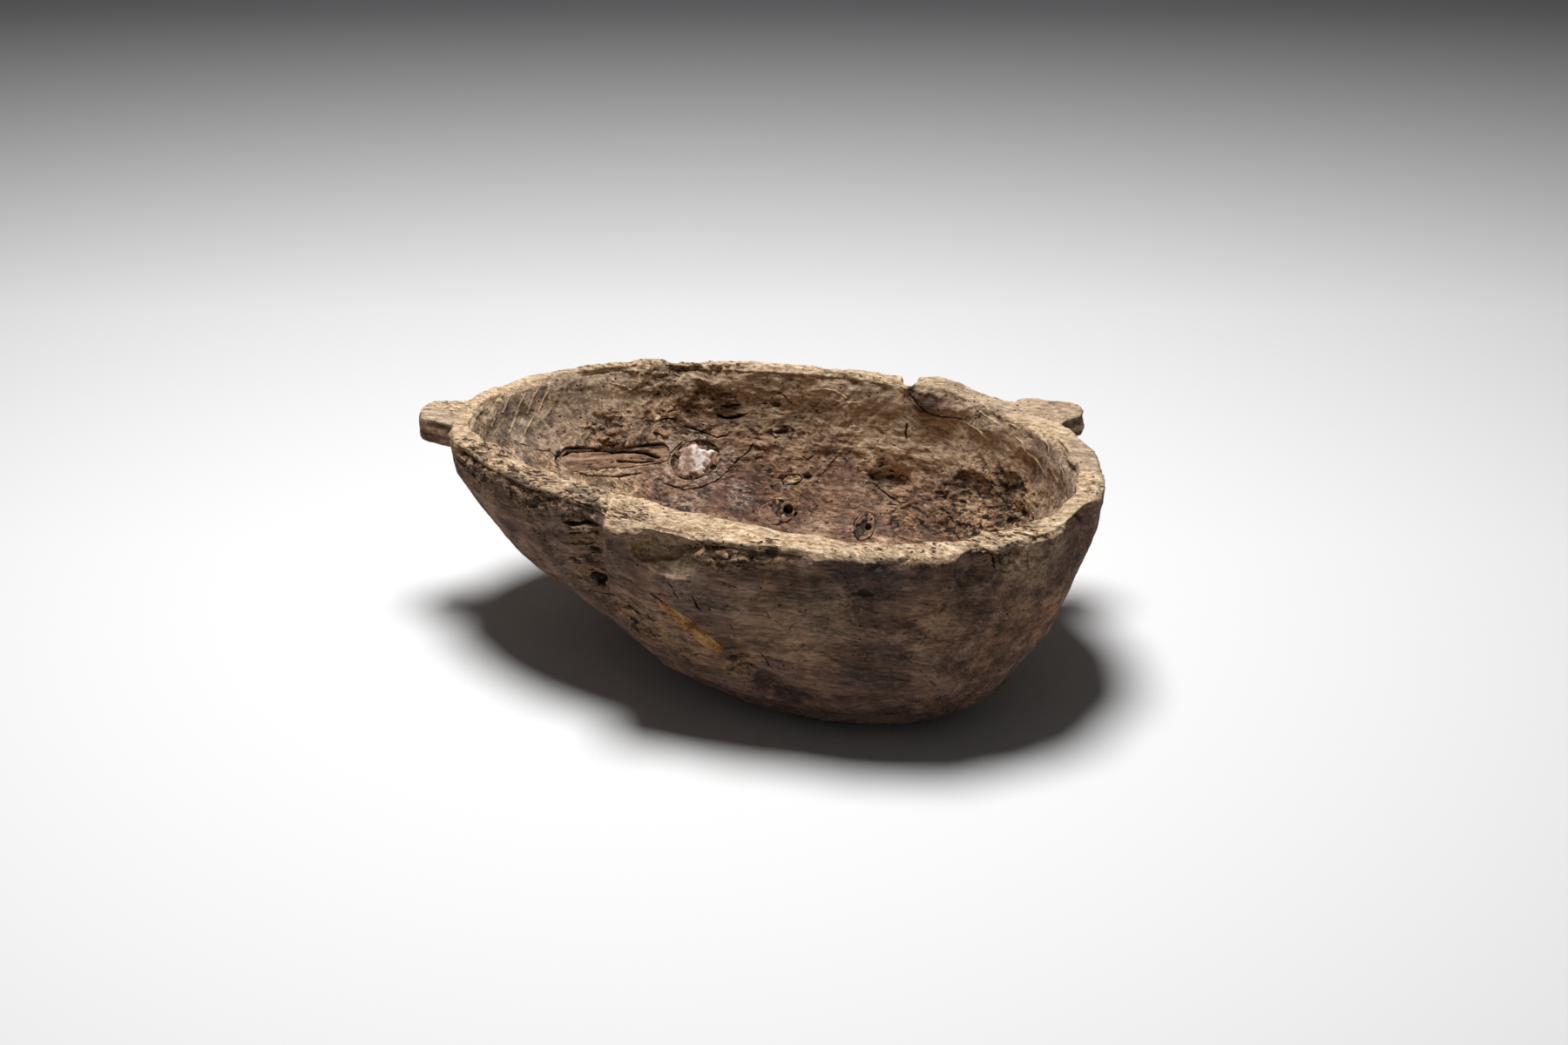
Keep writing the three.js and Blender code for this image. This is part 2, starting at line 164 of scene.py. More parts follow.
def chips_of(points, size, seed):
    """The distance to the nearest of many scattered middles, and how much further the next one is,
    both as shares of size."""
    spread = points / size + first_cell
    corner = np.floor(spread).astype(np.int64)
    nearest = np.full(len(points), 9.0)
    second = np.full(len(points), 9.0)
    for a in (-1, 0, 1):
        for b in (-1, 0, 1):
            for c in (-1, 0, 1):
                i, j, k = (corner + (a, b, c)).T
                middle = np.stack([scatter(i, j, k, seed + n) for n in range(3)], 1) + (corner + (a, b, c))
                gap = np.linalg.norm(spread - middle, axis=1)
                second = np.minimum(second, np.maximum(gap, nearest))
                nearest = np.minimum(nearest, gap)
    return nearest, second - nearest


def from_line(points, line):
    """The distance of each point from a line through several places, and how far along it, from 0 to 1."""
    gap = np.full(len(points), 1e9)
    far = np.zeros(len(points))
    lengths = [np.linalg.norm(end - start) for start, end in zip(line[:-1], line[1:])]
    whole = max(sum(lengths), 1e-9)
    passed = 0
    for start, end, length in zip(line[:-1], line[1:], lengths):
        along = end - start
        share = np.clip((points - start) @ along / max(along @ along, 1e-9), 0, 1)
        away = np.linalg.norm(points - start - share[:, None] * along, axis=1)
        far = np.where(away < gap, (passed + share * length) / whole, far)
        gap = np.minimum(gap, away)
        passed += length
    return gap, far


def opened(points, line, width):
    """From 1 in a crack along a line to 0 beside it. It narrows to its ends and here and there between."""
    gap, far = from_line(points, line)
    taper = (1 - (2 * far - 1) ** 4) ** 0.5
    wide = width * taper * (0.65 + 0.55 * rough(points, 17, 171, 2))
    return 1 - rise(gap, 0.25 * wide, np.maximum(wide, 0.05) + 0.45)


def blurred(values, edges, rounds):
    """Values spread over their neighbours on the skin."""
    count = len(values)
    one, other = edges.T
    neighbours = np.bincount(one, minlength=count) + np.bincount(other, minlength=count)
    for _ in range(rounds):
        total = np.bincount(one, values[other], count) + np.bincount(other, values[one], count)
        values = 0.5 * values + 0.5 * total / np.maximum(neighbours, 1)
    return values


# Skins: fine-faced copies of CAD nodes, to carve on

class Skin:
    """A fine-faced copy of a CAD node, whose points are moved along their normals."""

    def __init__(self, node, step):
        source = bmesh.new()
        source.from_mesh(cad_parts[node].data)
        bmesh.ops.remove_doubles(source, verts=source.verts, dist=1e-6)
        mesh = bpy.data.meshes.new(node + "_worn")
        source.to_mesh(mesh)
        source.free()
        self.piece = bpy.data.objects.new(node + "_worn", mesh)
        bpy.context.scene.collection.objects.link(self.piece)
        remesh = self.piece.modifiers.new("skin", "REMESH")
        remesh.mode = "VOXEL"
        remesh.voxel_size = step * millimetre
        view = bpy.context.evaluated_depsgraph_get()
        self.piece.data = bpy.data.meshes.new_from_object(self.piece.evaluated_get(view))
        self.piece.modifiers.clear()
        self.mesh = self.piece.data
        self.mesh.name = node + "_worn"
        self.read()

    def refine(self, lines, reach):
        """Splits the faces within reach of the lines, so that thin cracks are cut cleanly."""
        near = np.zeros(len(self.place), bool)
        for line in lines:
            near |= from_line(self.place, line)[0] < reach
        net = bmesh.new()
        net.from_mesh(self.mesh)
        net.verts.ensure_lookup_table()
        chosen = [e for e in net.edges if near[e.verts[0].index] and near[e.verts[1].index]]
        bmesh.ops.subdivide_edges(net, edges=chosen, cuts=2, use_grid_fill=True)
        bmesh.ops.triangulate(net, faces=[f for f in net.faces if len(f.verts) > 4])
        net.to_mesh(self.mesh)
        net.free()
        self.read()

    def read(self):
        """Takes the places, normals and edges of the points, in millimetres."""
        count = len(self.mesh.vertices)
        place = np.empty(count * 3, np.float32)
        self.mesh.vertices.foreach_get("co", place)
        self.place = place.reshape(-1, 3).astype(float) / millimetre
        facing = np.empty(count * 3, np.float32)
        self.mesh.vertices.foreach_get("normal", facing)
        self.facing = facing.reshape(-1, 3).astype(float)
        edges = np.empty(len(self.mesh.edges) * 2, np.int32)
        self.mesh.edges.foreach_get("vertices", edges)
        self.edges = edges.reshape(-1, 2)

    def carve(self, depth):
        """Moves each point into the wood by its depth."""
        way = np.stack([blurred(self.facing[:, n], self.edges, 3) for n in range(3)], 1)
        way /= np.maximum(np.linalg.norm(way, axis=1), 1e-6)[:, None]
        self.place -= way * depth[:, None]
        self.write()

    def write(self):
        """Puts the places back into the mesh."""
        self.mesh.vertices.foreach_set("co", (self.place * millimetre).astype(np.float32).ravel())
        self.mesh.update()
        self.read()

    def hollow(self, rounds):
        """Above 0 in a hollow and below 0 on a crest, in millimetres."""
        spread = np.stack([blurred(self.place[:, n], self.edges, rounds) for n in range(3)], 1)
        return ((spread - self.place) * self.facing).sum(1)

    def paint(self, name, *shares):
        """Keeps up to three shares, from 0 to 1, on the points for the material to read."""
        layer = self.mesh.color_attributes.new(name, "FLOAT_COLOR", "POINT")
        kept = np.ones((len(self.place), 4), np.float32)
        kept[:, :len(shares)] = np.stack(shares, 1).clip(0, 1)
        layer.data.foreach_set("color", kept.ravel())

    def finish(self, node, slot, material):
        """Puts the carved piece in its node's place."""
        self.mesh.polygons.foreach_set("use_smooth", np.ones(len(self.mesh.polygons), bool))
        self.mesh.materials.clear()
        self.mesh.materials.append(material)
        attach(self.piece, "root")
        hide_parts(node)


# Marks on the bowl, each named and set by pixels of the photograph, with sizes in millimetres. A crack has
# its line, width and depth, a tool mark only its line, and a place its middle, its radius, and a depth, a
# height or a weight from 0 to 1.

cracks = {
    "from the rim notch down the back wall":
        ([(1045, 440), (1045, 454), (1054, 464), (1067, 474), (1078, 478), (1089, 480), (1107, 483)], 1.5, 9),
    "long knot's upper gap":
        ([(641, 524), (646, 518), (656, 515), (676, 515), (700, 515), (730, 517), (752, 521), (766, 527)],
         3.0, 13),
    "long knot's left end": ([(640, 522), (640, 532), (645, 541)], 1.8, 7),
    "long knot's lower seam": ([(656, 542), (680, 546), (712, 546), (744, 542)], 1.4, 5),
    "arc under the round knot":
        ([(758, 553), (772, 558), (786, 561), (802, 559), (820, 553), (834, 543), (850, 534)], 1.0, 4),
    "arc beside it, from the dark patch": ([(868, 506), (860, 517), (846, 529), (834, 543)], 0.9, 4),
    "from the long knot to the narrow end": ([(612, 515), (622, 517), (631, 519), (640, 525)], 0.8, 4),
    "left of the long knot, low": ([(588, 505), (598, 510), (612, 514)], 0.6, 3),
    "fork beside the long knot": ([(768, 524), (775, 516), (784, 508)], 1.0, 4),
    "upper of the wide end's front":
        ([(1094, 687), (1083, 700), (1068, 723), (1056, 741), (1045, 756)], 0.35, 2.5),
    "lower of the wide end's front": ([(1038, 754), (1052, 766), (1066, 781), (1084, 797)], 0.3, 2.5),
    "short one beside the lower": ([(1020, 752), (1024, 772), (1025, 792)], 0.25, 2),
    "front rim, upright": ([(1181, 634), (1180, 645), (1180, 656)], 0.5, 3),
    "left slit above the rot": ([(747, 682), (757, 689), (767, 698)], 1.6, 7),
    "middle slit above the rot": ([(766, 668), (772, 678), (780, 690)], 1.6, 4),
    "right slit above the rot": ([(795, 685), (799, 693), (805, 701)], 1.7, 5),
    "thin one under the scoop": ([(826, 668), (837, 672), (856, 677)], 0.7, 4),
    "thin one below it": ([(838, 714), (842, 724), (843, 733)], 0.5, 3),
    "forked one on the front": ([(888, 712), (904, 724), (917, 714)], 0.25, 2),
    "slot beside the fold": ([(646, 600), (656, 603), (672, 604), (688, 603)], 3.6, 13),
    "layer beside the fold, first": ([(650, 613), (668, 612), (690, 614)], 1.2, 6),
    "layer beside the fold, second": ([(654, 624), (674, 626), (692, 624)], 1.6, 7),
    "layer beside the fold, third": ([(658, 643), (676, 647), (692, 646)], 1.4, 6),
    "layer beside the fold, fourth": ([(664, 656), (680, 655), (696, 658)], 1.4, 6),
    "layer beside the fold, fifth": ([(672, 678), (690, 682), (706, 684)], 1.2, 5),
    "crease under the belly": ([(872, 748), (880, 760), (892, 777), (902, 790), (912, 802)], 1.5, 5),
    "back wall, upper left": ([(760, 476), (768, 473), (782, 471), (792, 466)], 0.9, 4),
    "back wall, tent-shaped": ([(880, 452), (890, 450), (900, 455), (908, 463)], 0.7, 3),
    "dark ledge, upper": ([(822, 476), (834, 480), (846, 479), (858, 475)], 2.4, 9),
    "dark ledge, left": ([(826, 467), (838, 468), (850, 466)], 1.8, 7),
    "dark ledge, lower": ([(780, 488), (800, 494), (822, 502), (836, 500)], 1.8, 7),
    "dark ledge, far left": ([(752, 484), (766, 481), (780, 484)], 1.3, 5),
    "small one above the front knot": ([(920, 524), (928, 529), (934, 523)], 1.3, 4),
    "upright on the fan": ([(1041, 487), (1039, 497), (1041, 506)], 1.6, 5),
    "fan, first": ([(930, 560), (948, 540), (960, 525)], 0.3, 1.5),
    "fan, second": ([(955, 545), (975, 520), (990, 503)], 0.3, 1.5),
    "fan, third": ([(985, 540), (1002, 515), (1012, 500)], 0.3, 1.5),
    "dark foot of the fan": ([(1001, 552), (1010, 560), (1022, 570), (1034, 577), (1046, 572)], 1.6, 5),
    "crescent by the front knot": ([(893, 577), (902, 578), (909, 582), (914, 589), (911, 594)], 3.4, 12),
    "front knot's left edge": ([(876, 592), (872, 586), (877, 579), (887, 576)], 1.0, 4),
    "crescent by the right knot": ([(992, 592), (999, 595), (1003, 602), (1002, 611), (997, 617)], 2.0, 8),
    "front rim, under the block": ([(1132, 628), (1138, 640), (1142, 652)], 1.4, 5),
}

tool_marks = {
    "narrow end, first": [(591, 445), (583, 460), (576, 475)],
    "narrow end, second": [(608, 439), (600, 458), (591, 479)],
    "narrow end, third": [(622, 437), (613, 455), (606, 474)],
    "narrow end, fourth": [(634, 435), (626, 455), (618, 474)],
    "narrow end, fifth": [(597, 470), (590, 485), (584, 499)],
    "narrow end, sixth": [(612, 478), (606, 490), (602, 500)],
    "narrow end, seventh": [(571, 470), (566, 482), (563, 492)],
    "back wall, first": [(700, 440), (716, 444), (730, 452)],
    "back wall, second": [(930, 448), (944, 446), (960, 450), (972, 458)],
    "back wall, third": [(960, 468), (972, 462), (990, 462)],
    "wide end, first": [(1190, 495), (1200, 507), (1205, 520)],
    "wide end, second": [(1206, 490), (1216, 503), (1220, 515)],
    "wide end, third": [(1222, 505), (1230, 520), (1233, 534)],
    "wide end, fourth": [(1180, 520), (1192, 531), (1198, 544)],
    "wide end, fifth": [(1214, 530), (1221, 544), (1221, 556)],
    "wide end, sixth": [(1163, 500), (1172, 508), (1178, 520)],
    "by the block, first": [(1150, 480), (1161, 488), (1172, 495)],
    "by the block, second": [(1120, 470), (1132, 478), (1144, 486)],
    "by the block, third": [(1108, 486), (1122, 494), (1132, 504)],
}

pits = {
    "big one on the back wall": ((895, 498), 10, 7),
    "small one above it": ((893, 464), 6, 4),
    "beside the fold, upper": ((680, 634), 8, 12),
    "beside the fold, lower": ((690, 668), 12, 14),
    "beside the fold, left": ((660, 645), 6, 7),
    "in the notch's lip": ((697, 584), 6, 6),
    "floor, right of the front knot": ((925, 548), 7, 5),
    "low on the belly, left": ((842, 758), 9, 6),
    "low on the belly, right": ((858, 764), 9, 7),
    "front rim chip": ((886, 631), 7, 6),
    "front wall scar": ((985, 683), 10, 3),
    "front wall, small": ((925, 742), 4, 2),
    "front wall, low": ((1128, 752), 4, 2),
}

rotten_places = {
    "low wall at the wide end": ((1150, 580), 64, 1.0),
    "low wall beside it": ((1100, 592), 54, 0.95),
    "right side of the floor": ((1050, 588), 46, 0.8),
    "pits right of the middle": ((1018, 560), 38, 0.8),
    "wall above those pits": ((1090, 545), 34, 0.5),
    "dark patch on the back wall": ((818, 476), 42, 1.0),
    "left of the dark patch": ((765, 478), 36, 0.75),
    "below the dark patch": ((800, 498), 36, 0.9),
    "between the knots": ((862, 515), 36, 0.7),
    "upper back wall": ((740, 445), 40, 0.5),
    "back wall, middle": ((900, 490), 34, 0.6),
    "back rim, left": ((770, 422), 30, 0.9),
    "back rim, middle": ((812, 420), 26, 0.8),
    "ledge above the long knot": ((690, 505), 36, 0.9),
    "floor by the front knot": ((900, 552), 40, 0.8),
    "floor, left": ((790, 575), 40, 0.5),
    "narrow end's front rim": ((610, 545), 36, 0.6),
    "front rim before the fold": ((655, 572), 34, 0.85),
    "hollow beside the fold": ((672, 615), 32, 0.7),
    "hollow beside the fold, low": ((684, 655), 36, 0.75),
    "hull below that hollow": ((700, 690), 30, 0.7),
    "strip under the fold": ((728, 712), 34, 0.8),
    "strip under the fold, low": ((775, 745), 34, 0.6),
    "valley under the belly": ((850, 765), 26, 0.8),
    "crest of the fold": ((716, 588), 22, 0.8),
    "front rim behind the scoop": ((814, 622), 24, 1.0),
    "front rim, middle": ((876, 636), 24, 0.9),
    "front rim, block's left": ((1145, 640), 14, 0.9),
    "front rim, block": ((1170, 605), 34, 0.5),
    "narrow end's hull": ((612, 606), 22, 0.6),
}

porous_places = {
    "narrow end's front rim": ((560, 520), 60, 1.0),
    "front rim, left": ((610, 548), 50, 1.0),
    "front rim before the fold": ((660, 572), 44, 1.0),
    "crest of the fold": ((716, 592), 32, 1.0),
    "behind the scoop": ((815, 622), 28, 1.0),
    "front rim, middle": ((880, 625), 26, 0.9),
    "front rim, right of the middle": ((1030, 627), 60, 0.6),
    "front rim, block": ((1150, 612), 58, 0.85),
    "right end": ((1245, 560), 26, 0.7),
    "back rim, left": ((700, 420), 50, 0.6),
    "back rim, middle": ((800, 416), 60, 0.8),
    "stub at the narrow end": ((520, 465), 30, 0.5),
}

adzed_places = {
    "narrow end's wall": ((598, 465), 66, 1.0),
    "wall over the long knot": ((660, 470), 46, 0.5),
    "wide end's wall": ((1205, 520), 56, 1.0),
    "wall right of the block": ((1130, 485), 66, 0.9),
    "under the back rim, right": ((985, 440), 66, 0.7),
    "under the back rim, left": ((690, 432), 46, 0.6),
    "block right of the notch": ((1075, 455), 46, 0.7),
}

bevelled_places = {
    "narrow end's front rim": ((545, 545), 50, 1.0),
    "front rim, left": ((600, 570), 46, 1.0),
    "front rim before the fold": ((650, 588), 32, 0.8),
    "behind the scoop": ((828, 640), 32, 1.0),
    "front rim, middle": ((890, 648), 28, 0.5),
    "front rim, block": ((1160, 645), 24, 0.6),
    "narrow end's rim top": ((556, 517), 34, 0.75),
    "front rim's top, left": ((608, 547), 34, 0.8),
    "front rim's top before the fold": ((658, 571), 28, 0.8),
    "back rim, left": ((760, 425), 60, 0.5),
}

bared_places = {
    "scoop's floor, left": ((754, 624), 28, 1.0),
    "scoop's floor, right": ((786, 622), 22, 0.7),
    "scoop's lower edge": ((778, 648), 16, 1.0),
    "scoop's left edge": ((730, 622), 12, 0.8),
    "belly, upper left": ((780, 665), 24, 0.45),
    "hull, middle": ((905, 718), 46, 0.5),
    "hull, left of the middle": ((850, 700), 30, 0.4),
    "hull, right of the middle": ((965, 710), 32, 0.4),
    "hull, right": ((1090, 720), 26, 0.25),
    "block's lower edge": ((1190, 662), 18, 0.8),
    "block's face": ((1176, 642), 30, 1.0),
    "block's corner": ((1215, 630), 16, 0.8),
    "right end's edge": ((1262, 575), 26, 0.5),
    "narrow end's hull": ((560, 575), 22, 0.4),
    "fold's edge, low": ((742, 705), 18, 0.5),
}

calm_places = {
    "back rim, right": ((1130, 455), 70, 0.8),
    "tongue": ((1205, 470), 50, 0.7),
    "right end": ((1250, 520), 44, 0.8),
    "stub at the narrow end": ((500, 480), 30, 0.8),
    "back rim, left": ((640, 428), 50, 0.6),
}

grey_places = {
    "narrow end's adzed wall": ((600, 465), 66, 1.0),
    "back wall under the rim, left": ((690, 440), 60, 0.9),
    "back wall under the rim, middle": ((850, 440), 76, 1.0),
    "back wall under the rim, right": ((975, 440), 70, 1.0),
    "back wall, right of the fan": ((1060, 500), 54, 0.7),
    "block right of the notch": ((1075, 458), 48, 0.8),
    "wall right of the block": ((1125, 490), 56, 0.8),
    "wide end's wall": ((1205, 520), 56, 0.6),
    "wide end's rim": ((1255, 540), 60, 0.7),
    "fan of fibres": ((960, 500), 40, 0.3),
    "front wall under the rim": ((985, 660), 85, 0.9),
    "front wall, left": ((840, 680), 54, 0.6),
    "front wall, right": ((1120, 660), 50, 0.7),
    "proud side of the fold": ((712, 640), 42, 0.7),
    "narrow end's hull": ((580, 580), 64, 0.6),
    "block's face": ((1185, 645), 36, 0.8),
    "band across the belly": ((1010, 770), 64, 0.8),
    "hull at the wide end": ((1235, 640), 54, 0.6),
}

stained_places = {
    "floor's right end": ((1060, 600), 70, 0.9),
    "floor's far right": ((1130, 590), 50, 0.4),
    "wide end's wall": ((1200, 530), 50, 0.4),
    "floor, middle": ((880, 572), 80, 1.0),
    "floor, left": ((780, 575), 60, 0.8),
    "floor, right": ((985, 590), 56, 0.7),
    "around the knots": ((830, 530), 70, 0.7),
    "foot of the fan": ((950, 555), 60, 0.8),
    "band above the long knot": ((700, 507), 26, 0.7),
    "dark patch on the back wall": ((820, 476), 36, 0.5),
    "block right of the notch": ((1066, 452), 34, 0.8),
}

limed_places = {
    "beside the long knot": ((762, 545), 16, 0.6),
    "around the crust": ((800, 530), 38, 0.7),
    "right of the crust": ((838, 521), 12, 0.9),
    "above the crust": ((772, 508), 10, 0.7),
    "floor's front, left": ((790, 580), 26, 0.5),
    "floor's front, middle": ((850, 564), 18, 0.6),
    "by the front knot": ((905, 556), 11, 0.4),
    "by the right knot": ((992, 607), 10, 0.5),
    "top of the back wall": ((880, 422), 22, 0.5),
}

raised_places = {
    "block right of the notch": ((1074, 450), 34, 5.0),
    "ledge above the long knot": ((700, 500), 40, 3.0),
    "lip of the fold": ((708, 600), 24, 2.0),
    "lump in the notch's lip": ((691, 576), 7, 5.0),
    "wide end's back rim": ((1190, 460), 30, 2.0),
}

sunken_places = {
    "rim notch": ((1044, 436), 11, 9.0),
    "under the block": ((1098, 500), 34, 3.0),
    "back rim": ((790, 416), 30, 3.0),
    "front rim before the fold": ((662, 584), 22, 4.0),
    "crease under the belly": ((835, 748), 24, 4.0),
    "crease under the belly, foot": ((880, 782), 20, 3.0),
    "left of the block": ((1120, 632), 14, 3.0),
    "floor's right side": ((1020, 560), 34, 3.0),
}

cut_places = {
    "scoop, left": ((744, 626), 20, 5.0),
    "scoop, middle": ((766, 624), 22, 6.0),
    "scoop, right": ((788, 618), 20, 6.0),
    "block's face, left": ((1160, 640), 15, 3.0),
    "block's face, right": ((1195, 630), 16, 3.0),
}

widened_places = {
    "narrow end's front rim": ((534, 497), 28, 6.0),
    "front rim, left": ((562, 513), 38, 9.0),
    "front rim, further on": ((602, 535), 38, 9.0),
    "front rim before the fold": ((640, 548), 32, 7.0),
}

# Painted shade: near-black paint, in part or in full, where gaps, the notch, creases, the underside of the
# rims and the foot lie in shade
painted_shade_places = {
    "long knot's gap, left end": ((642, 521), 5, 1.0),
    "long knot's gap, left": ((654, 517), 4, 1.0),
    "rim notch": ((1046, 443), 8, 0.8),
    "block right of the notch": ((1064, 454), 26, 0.35),
    "crease under the belly, top": ((806, 716), 16, 0.35),
    "crease under the belly": ((830, 745), 20, 0.5),
    "crease under the belly, foot": ((872, 775), 20, 0.5),
    "crease under the belly, end": ((905, 798), 18, 0.45),
    "under the fold": ((740, 722), 20, 0.35),
    "hull left of the fold, low": ((690, 690), 24, 0.3),
    "under the front rim, left": ((905, 668), 26, 0.25),
    "under the front rim": ((990, 655), 40, 0.4),
    "under the front rim, right": ((1075, 662), 40, 0.35),
    "under the block": ((1130, 680), 36, 0.3),
    "belly band": ((1010, 770), 44, 0.35),
    "belly band, right": ((1080, 765), 30, 0.2),
    "right end, low": ((1150, 740), 40, 0.2),
    "foot of the bowl": ((980, 815), 50, 0.3),
    "fold's dark side": ((705, 625), 16, 0.3),
}

long_knot_slots = {
    "inner slot": ([(708, 529), (722, 530), (736, 531), (752, 530)], 2.6, 8),
    "its upper branch": ([(724, 526), (740, 527), (756, 527)], 1.0, 4),
    "lower seam": ([(660, 541), (690, 543), (715, 543), (740, 541)], 1.0, 4),
    "seam across": ([(648, 533), (662, 534), (678, 533), (706, 530)], 0.7, 3),
    "upper gap": ([(646, 524), (656, 518), (680, 517), (710, 518), (740, 520), (764, 528)], 4.0, 11),
}

# Where the fibres fan out over the back wall, from its foot to its top
fan_of_fibres = [(925, 540), (1000, 462)]


def dabs(points, places, ragged, outside):
    """How much each point belongs to the named places. One on the wall's inside leaves its outside alone."""
    share = np.zeros(len(points))
    for spot, radius, weight in places.values():
        away = np.linalg.norm(points - seen_at(spot), axis=1)
        same_face = 1 - np.abs(outside - outside[away.argmin()])
        near = 1 - rise(away / radius + 0.45 * ragged, 0.5, 1.2)
        share = np.maximum(share, weight * same_face * near)
    return share


def swellings(points, places, ragged, whole, none):
    """Each named place's height at every point: whole within one share of its radius, none beyond another."""
    heights = []
    for spot, radius, high in places.values():
        gap = np.linalg.norm(points - seen_at(spot), axis=1) / radius
        heights.append(high * (1 - rise(gap + ragged, whole, none)))
    return np.array(heights)


def shaken(points, reach, size, seeds):
    """The points, each pushed about by lumps of one size, so that lines laid on them look torn."""
    return points + reach * np.stack([rough(points, size, seed, 2) for seed in seeds], 1)


# Carving. A number before a pattern is its depth in millimetres. A pattern is given its points, the size of
# its lumps in millimetres and its seed, and factors on the points draw it out along the log.

def carve_log():
    """Wears, pits and cracks a copy of the bowl's body as the photograph shows it."""
    log = Skin("bowl_body", fine_step)
    crack_lines = [[seen_at(spot) for spot in line] for line, _, _ in cracks.values()]
    mark_lines = [[seen_at(spot) for spot in line] for line in tool_marks.values()]
    log.refine(crack_lines + mark_lines, reach=4.5)
    here = log.place.copy()
    height = here[:, 2]

    # The outside of the wall, its inside and the rim's top, told apart by where each point faces
    spine = here[:, :2].copy()
    spine[:, 0] = np.clip(spine[:, 0], *spine_ends)
    spine[:, 1] = 0
    outward = here[:, :2] - spine
    outward /= np.maximum(np.linalg.norm(outward, axis=1), 1)[:, None]
    side = blurred((log.facing[:, :2] * outward).sum(1) - log.facing[:, 2], log.edges, rounds=16)
    up = blurred(log.facing[:, 2], log.edges, rounds=6)
    outside = rise(side, -0.35, 0.25)
    top = rise(height, *rim_heights) * rise(up, 0.25, 0.6)
    inside = (1 - outside) * (1 - top)

    warp = 9 * np.stack([lumps(here, 38, n) for n in (11, 12, 13)], 1)
    bent = here + warp
    ragged = rough(here, 20, 21)

    # The state of the wood, as shares from 0 to 1
    rot = dabs(here, rotten_places, ragged, outside)
    adzed = dabs(here, adzed_places, ragged, outside) * (1 - rot)
    porous = dabs(here, porous_places, ragged, outside)
    porous = np.maximum(porous, 0.5 * rise(rough(here, 46, 31), 0.0, 0.4)) * top
    bevel = dabs(here, bevelled_places, ragged, outside)
    bared = dabs(here, bared_places, ragged, outside) * outside
    calm = dabs(here, calm_places, ragged, outside) * top
    grey = dabs(here, grey_places, ragged, outside)
    stain = dabs(here, stained_places, ragged, outside)
    lime = dabs(here, limed_places, 1.3 * ragged, outside)
    # Painted shade in gaps, creases and under the rims
    painted_shade = dabs(here, painted_shade_places, ragged, outside)
    rot = np.maximum(rot, 0.75 * inside * (1 - adzed) * (0.55 + 0.4 * rough(here, 60, 35)))

    # Broad bumps and hollows
    swell = 1.2 * rough(here, 130, 41, 2) + top * 2.6 * rough(here, 60, 45, 2)
    swell -= swellings(here, raised_places, 0.3 * ragged, 0.6, 1.1).sum(0)
    swell += swellings(here, sunken_places, 0.3 * ragged, 0.5, 1.15).sum(0)
    widened = swellings(here, widened_places, 0.2 * ragged, 0.6, 1.1).max(0) * inside * rise(height, 200, 240)
    swell -= widened
    swell += swellings(here, cut_places, 0.1 * ragged, 0.8, 1.05).max(0)

    # The adze's strokes inside, with a ridge between one and the next, and its flatter faces outside
    stroke, stroke_edge = chips_of(bent * (1, 1, 0.42), 19, 51)
    face = chips_of(bent * (0.5, 1, 0.8), 40, 61)[0]
    strokes = adzed * 2.6 * (0.4 - stroke**2)
    faces = outside * (1 - 0.6 * rot) * 2.2 * (0.4 - face**2)
    some = rise(rough(here, 30, 65), -0.1, 0.25)
    ridge = adzed * (0.3 + 0.5 * some) * (1 - rise(stroke_edge, 0.02, 0.1))

    # Grain and rot
    streaks = rough(bent * (0.07, 1, 1), 4.5, 71, 2)
    wide_streaks = rough(bent * (0.1, 1, 1), 13, 75, 2)
    fibres = 0.4 * streaks + outside * 0.7 * wide_streaks
    flakes = rough(bent * (0.3, 1, 1), 9, 79)
    big_pit = pitted(bent * (0.6, 1, 1), 26, 81, 0.30)
    small_pit = pitted(bent * (0.55, 1, 1), 11, 85, 0.42)
    big_pit = big_pit * rise(rot, 0.5, 0.9)
    pit_opens = rise(rot, 0.25, 0.7)
    clefts = furrows(bent * (0.4, 1, 1), 13, 91)
    layers = 3.0 * rough(bent * (0.4, 1, 1) + 7 * rough(here, 9, 155)[:, None], 34, 151)
    shelf = layers - np.floor(layers)
    shelf = rise(shelf, 0.0, 0.8) * (1 - rise(shelf, 0.86, 1.0))
    crumble = rot * (1.4 * big_pit + 2.2 * small_pit * pit_opens + 1.9 * clefts + 1.3 * flakes)
    torn = (0.6 + rot) * 1.1 * shelf + 1.2 * rough(bent * (0.4, 1, 1), 5, 159)
    crumble += inside * (1 - adzed) * torn

    # The rim: eaten by borers on top, and broken away along its outer corner
    holes = pitted(bent * (0.5, 1, 1), 6.5, 101, 0.42)
    rim_skin = np.maximum(top, bevel * rise(height, 216, 232))
    rim_skin = np.maximum(rim_skin, rise(widened, 1, 4) * rise(height, 222, 238))
    porous = np.maximum(porous, bevel * rise(height, 212, 230))
    worn_rim = porous * (1.6 * holes + 1.0 * furrows(bent * (0.5, 1, 1), 8, 105) + 0.9 * rough(here, 5, 107))
    worn_rim += rim_skin * 0.6 * rough(here, 8, 109)
    corner = rise(height, *rim_heights) * rise(1 - up, 0.12, 0.4)
    broken = 4.5 * rise(rough(here, 30, 111), -0.05, 0.35) + 2.0 * rise(rough(here, 12, 115), 0.0, 0.4)
    chipped = corner * (broken + 5.0 * bevel * outside)

    depth = swell + strokes + faces + fibres + crumble + worn_rim + chipped - 0.8 * ridge
    depth += 0.35 * rough(here, 6, 121) + inside * 0.6 * flakes

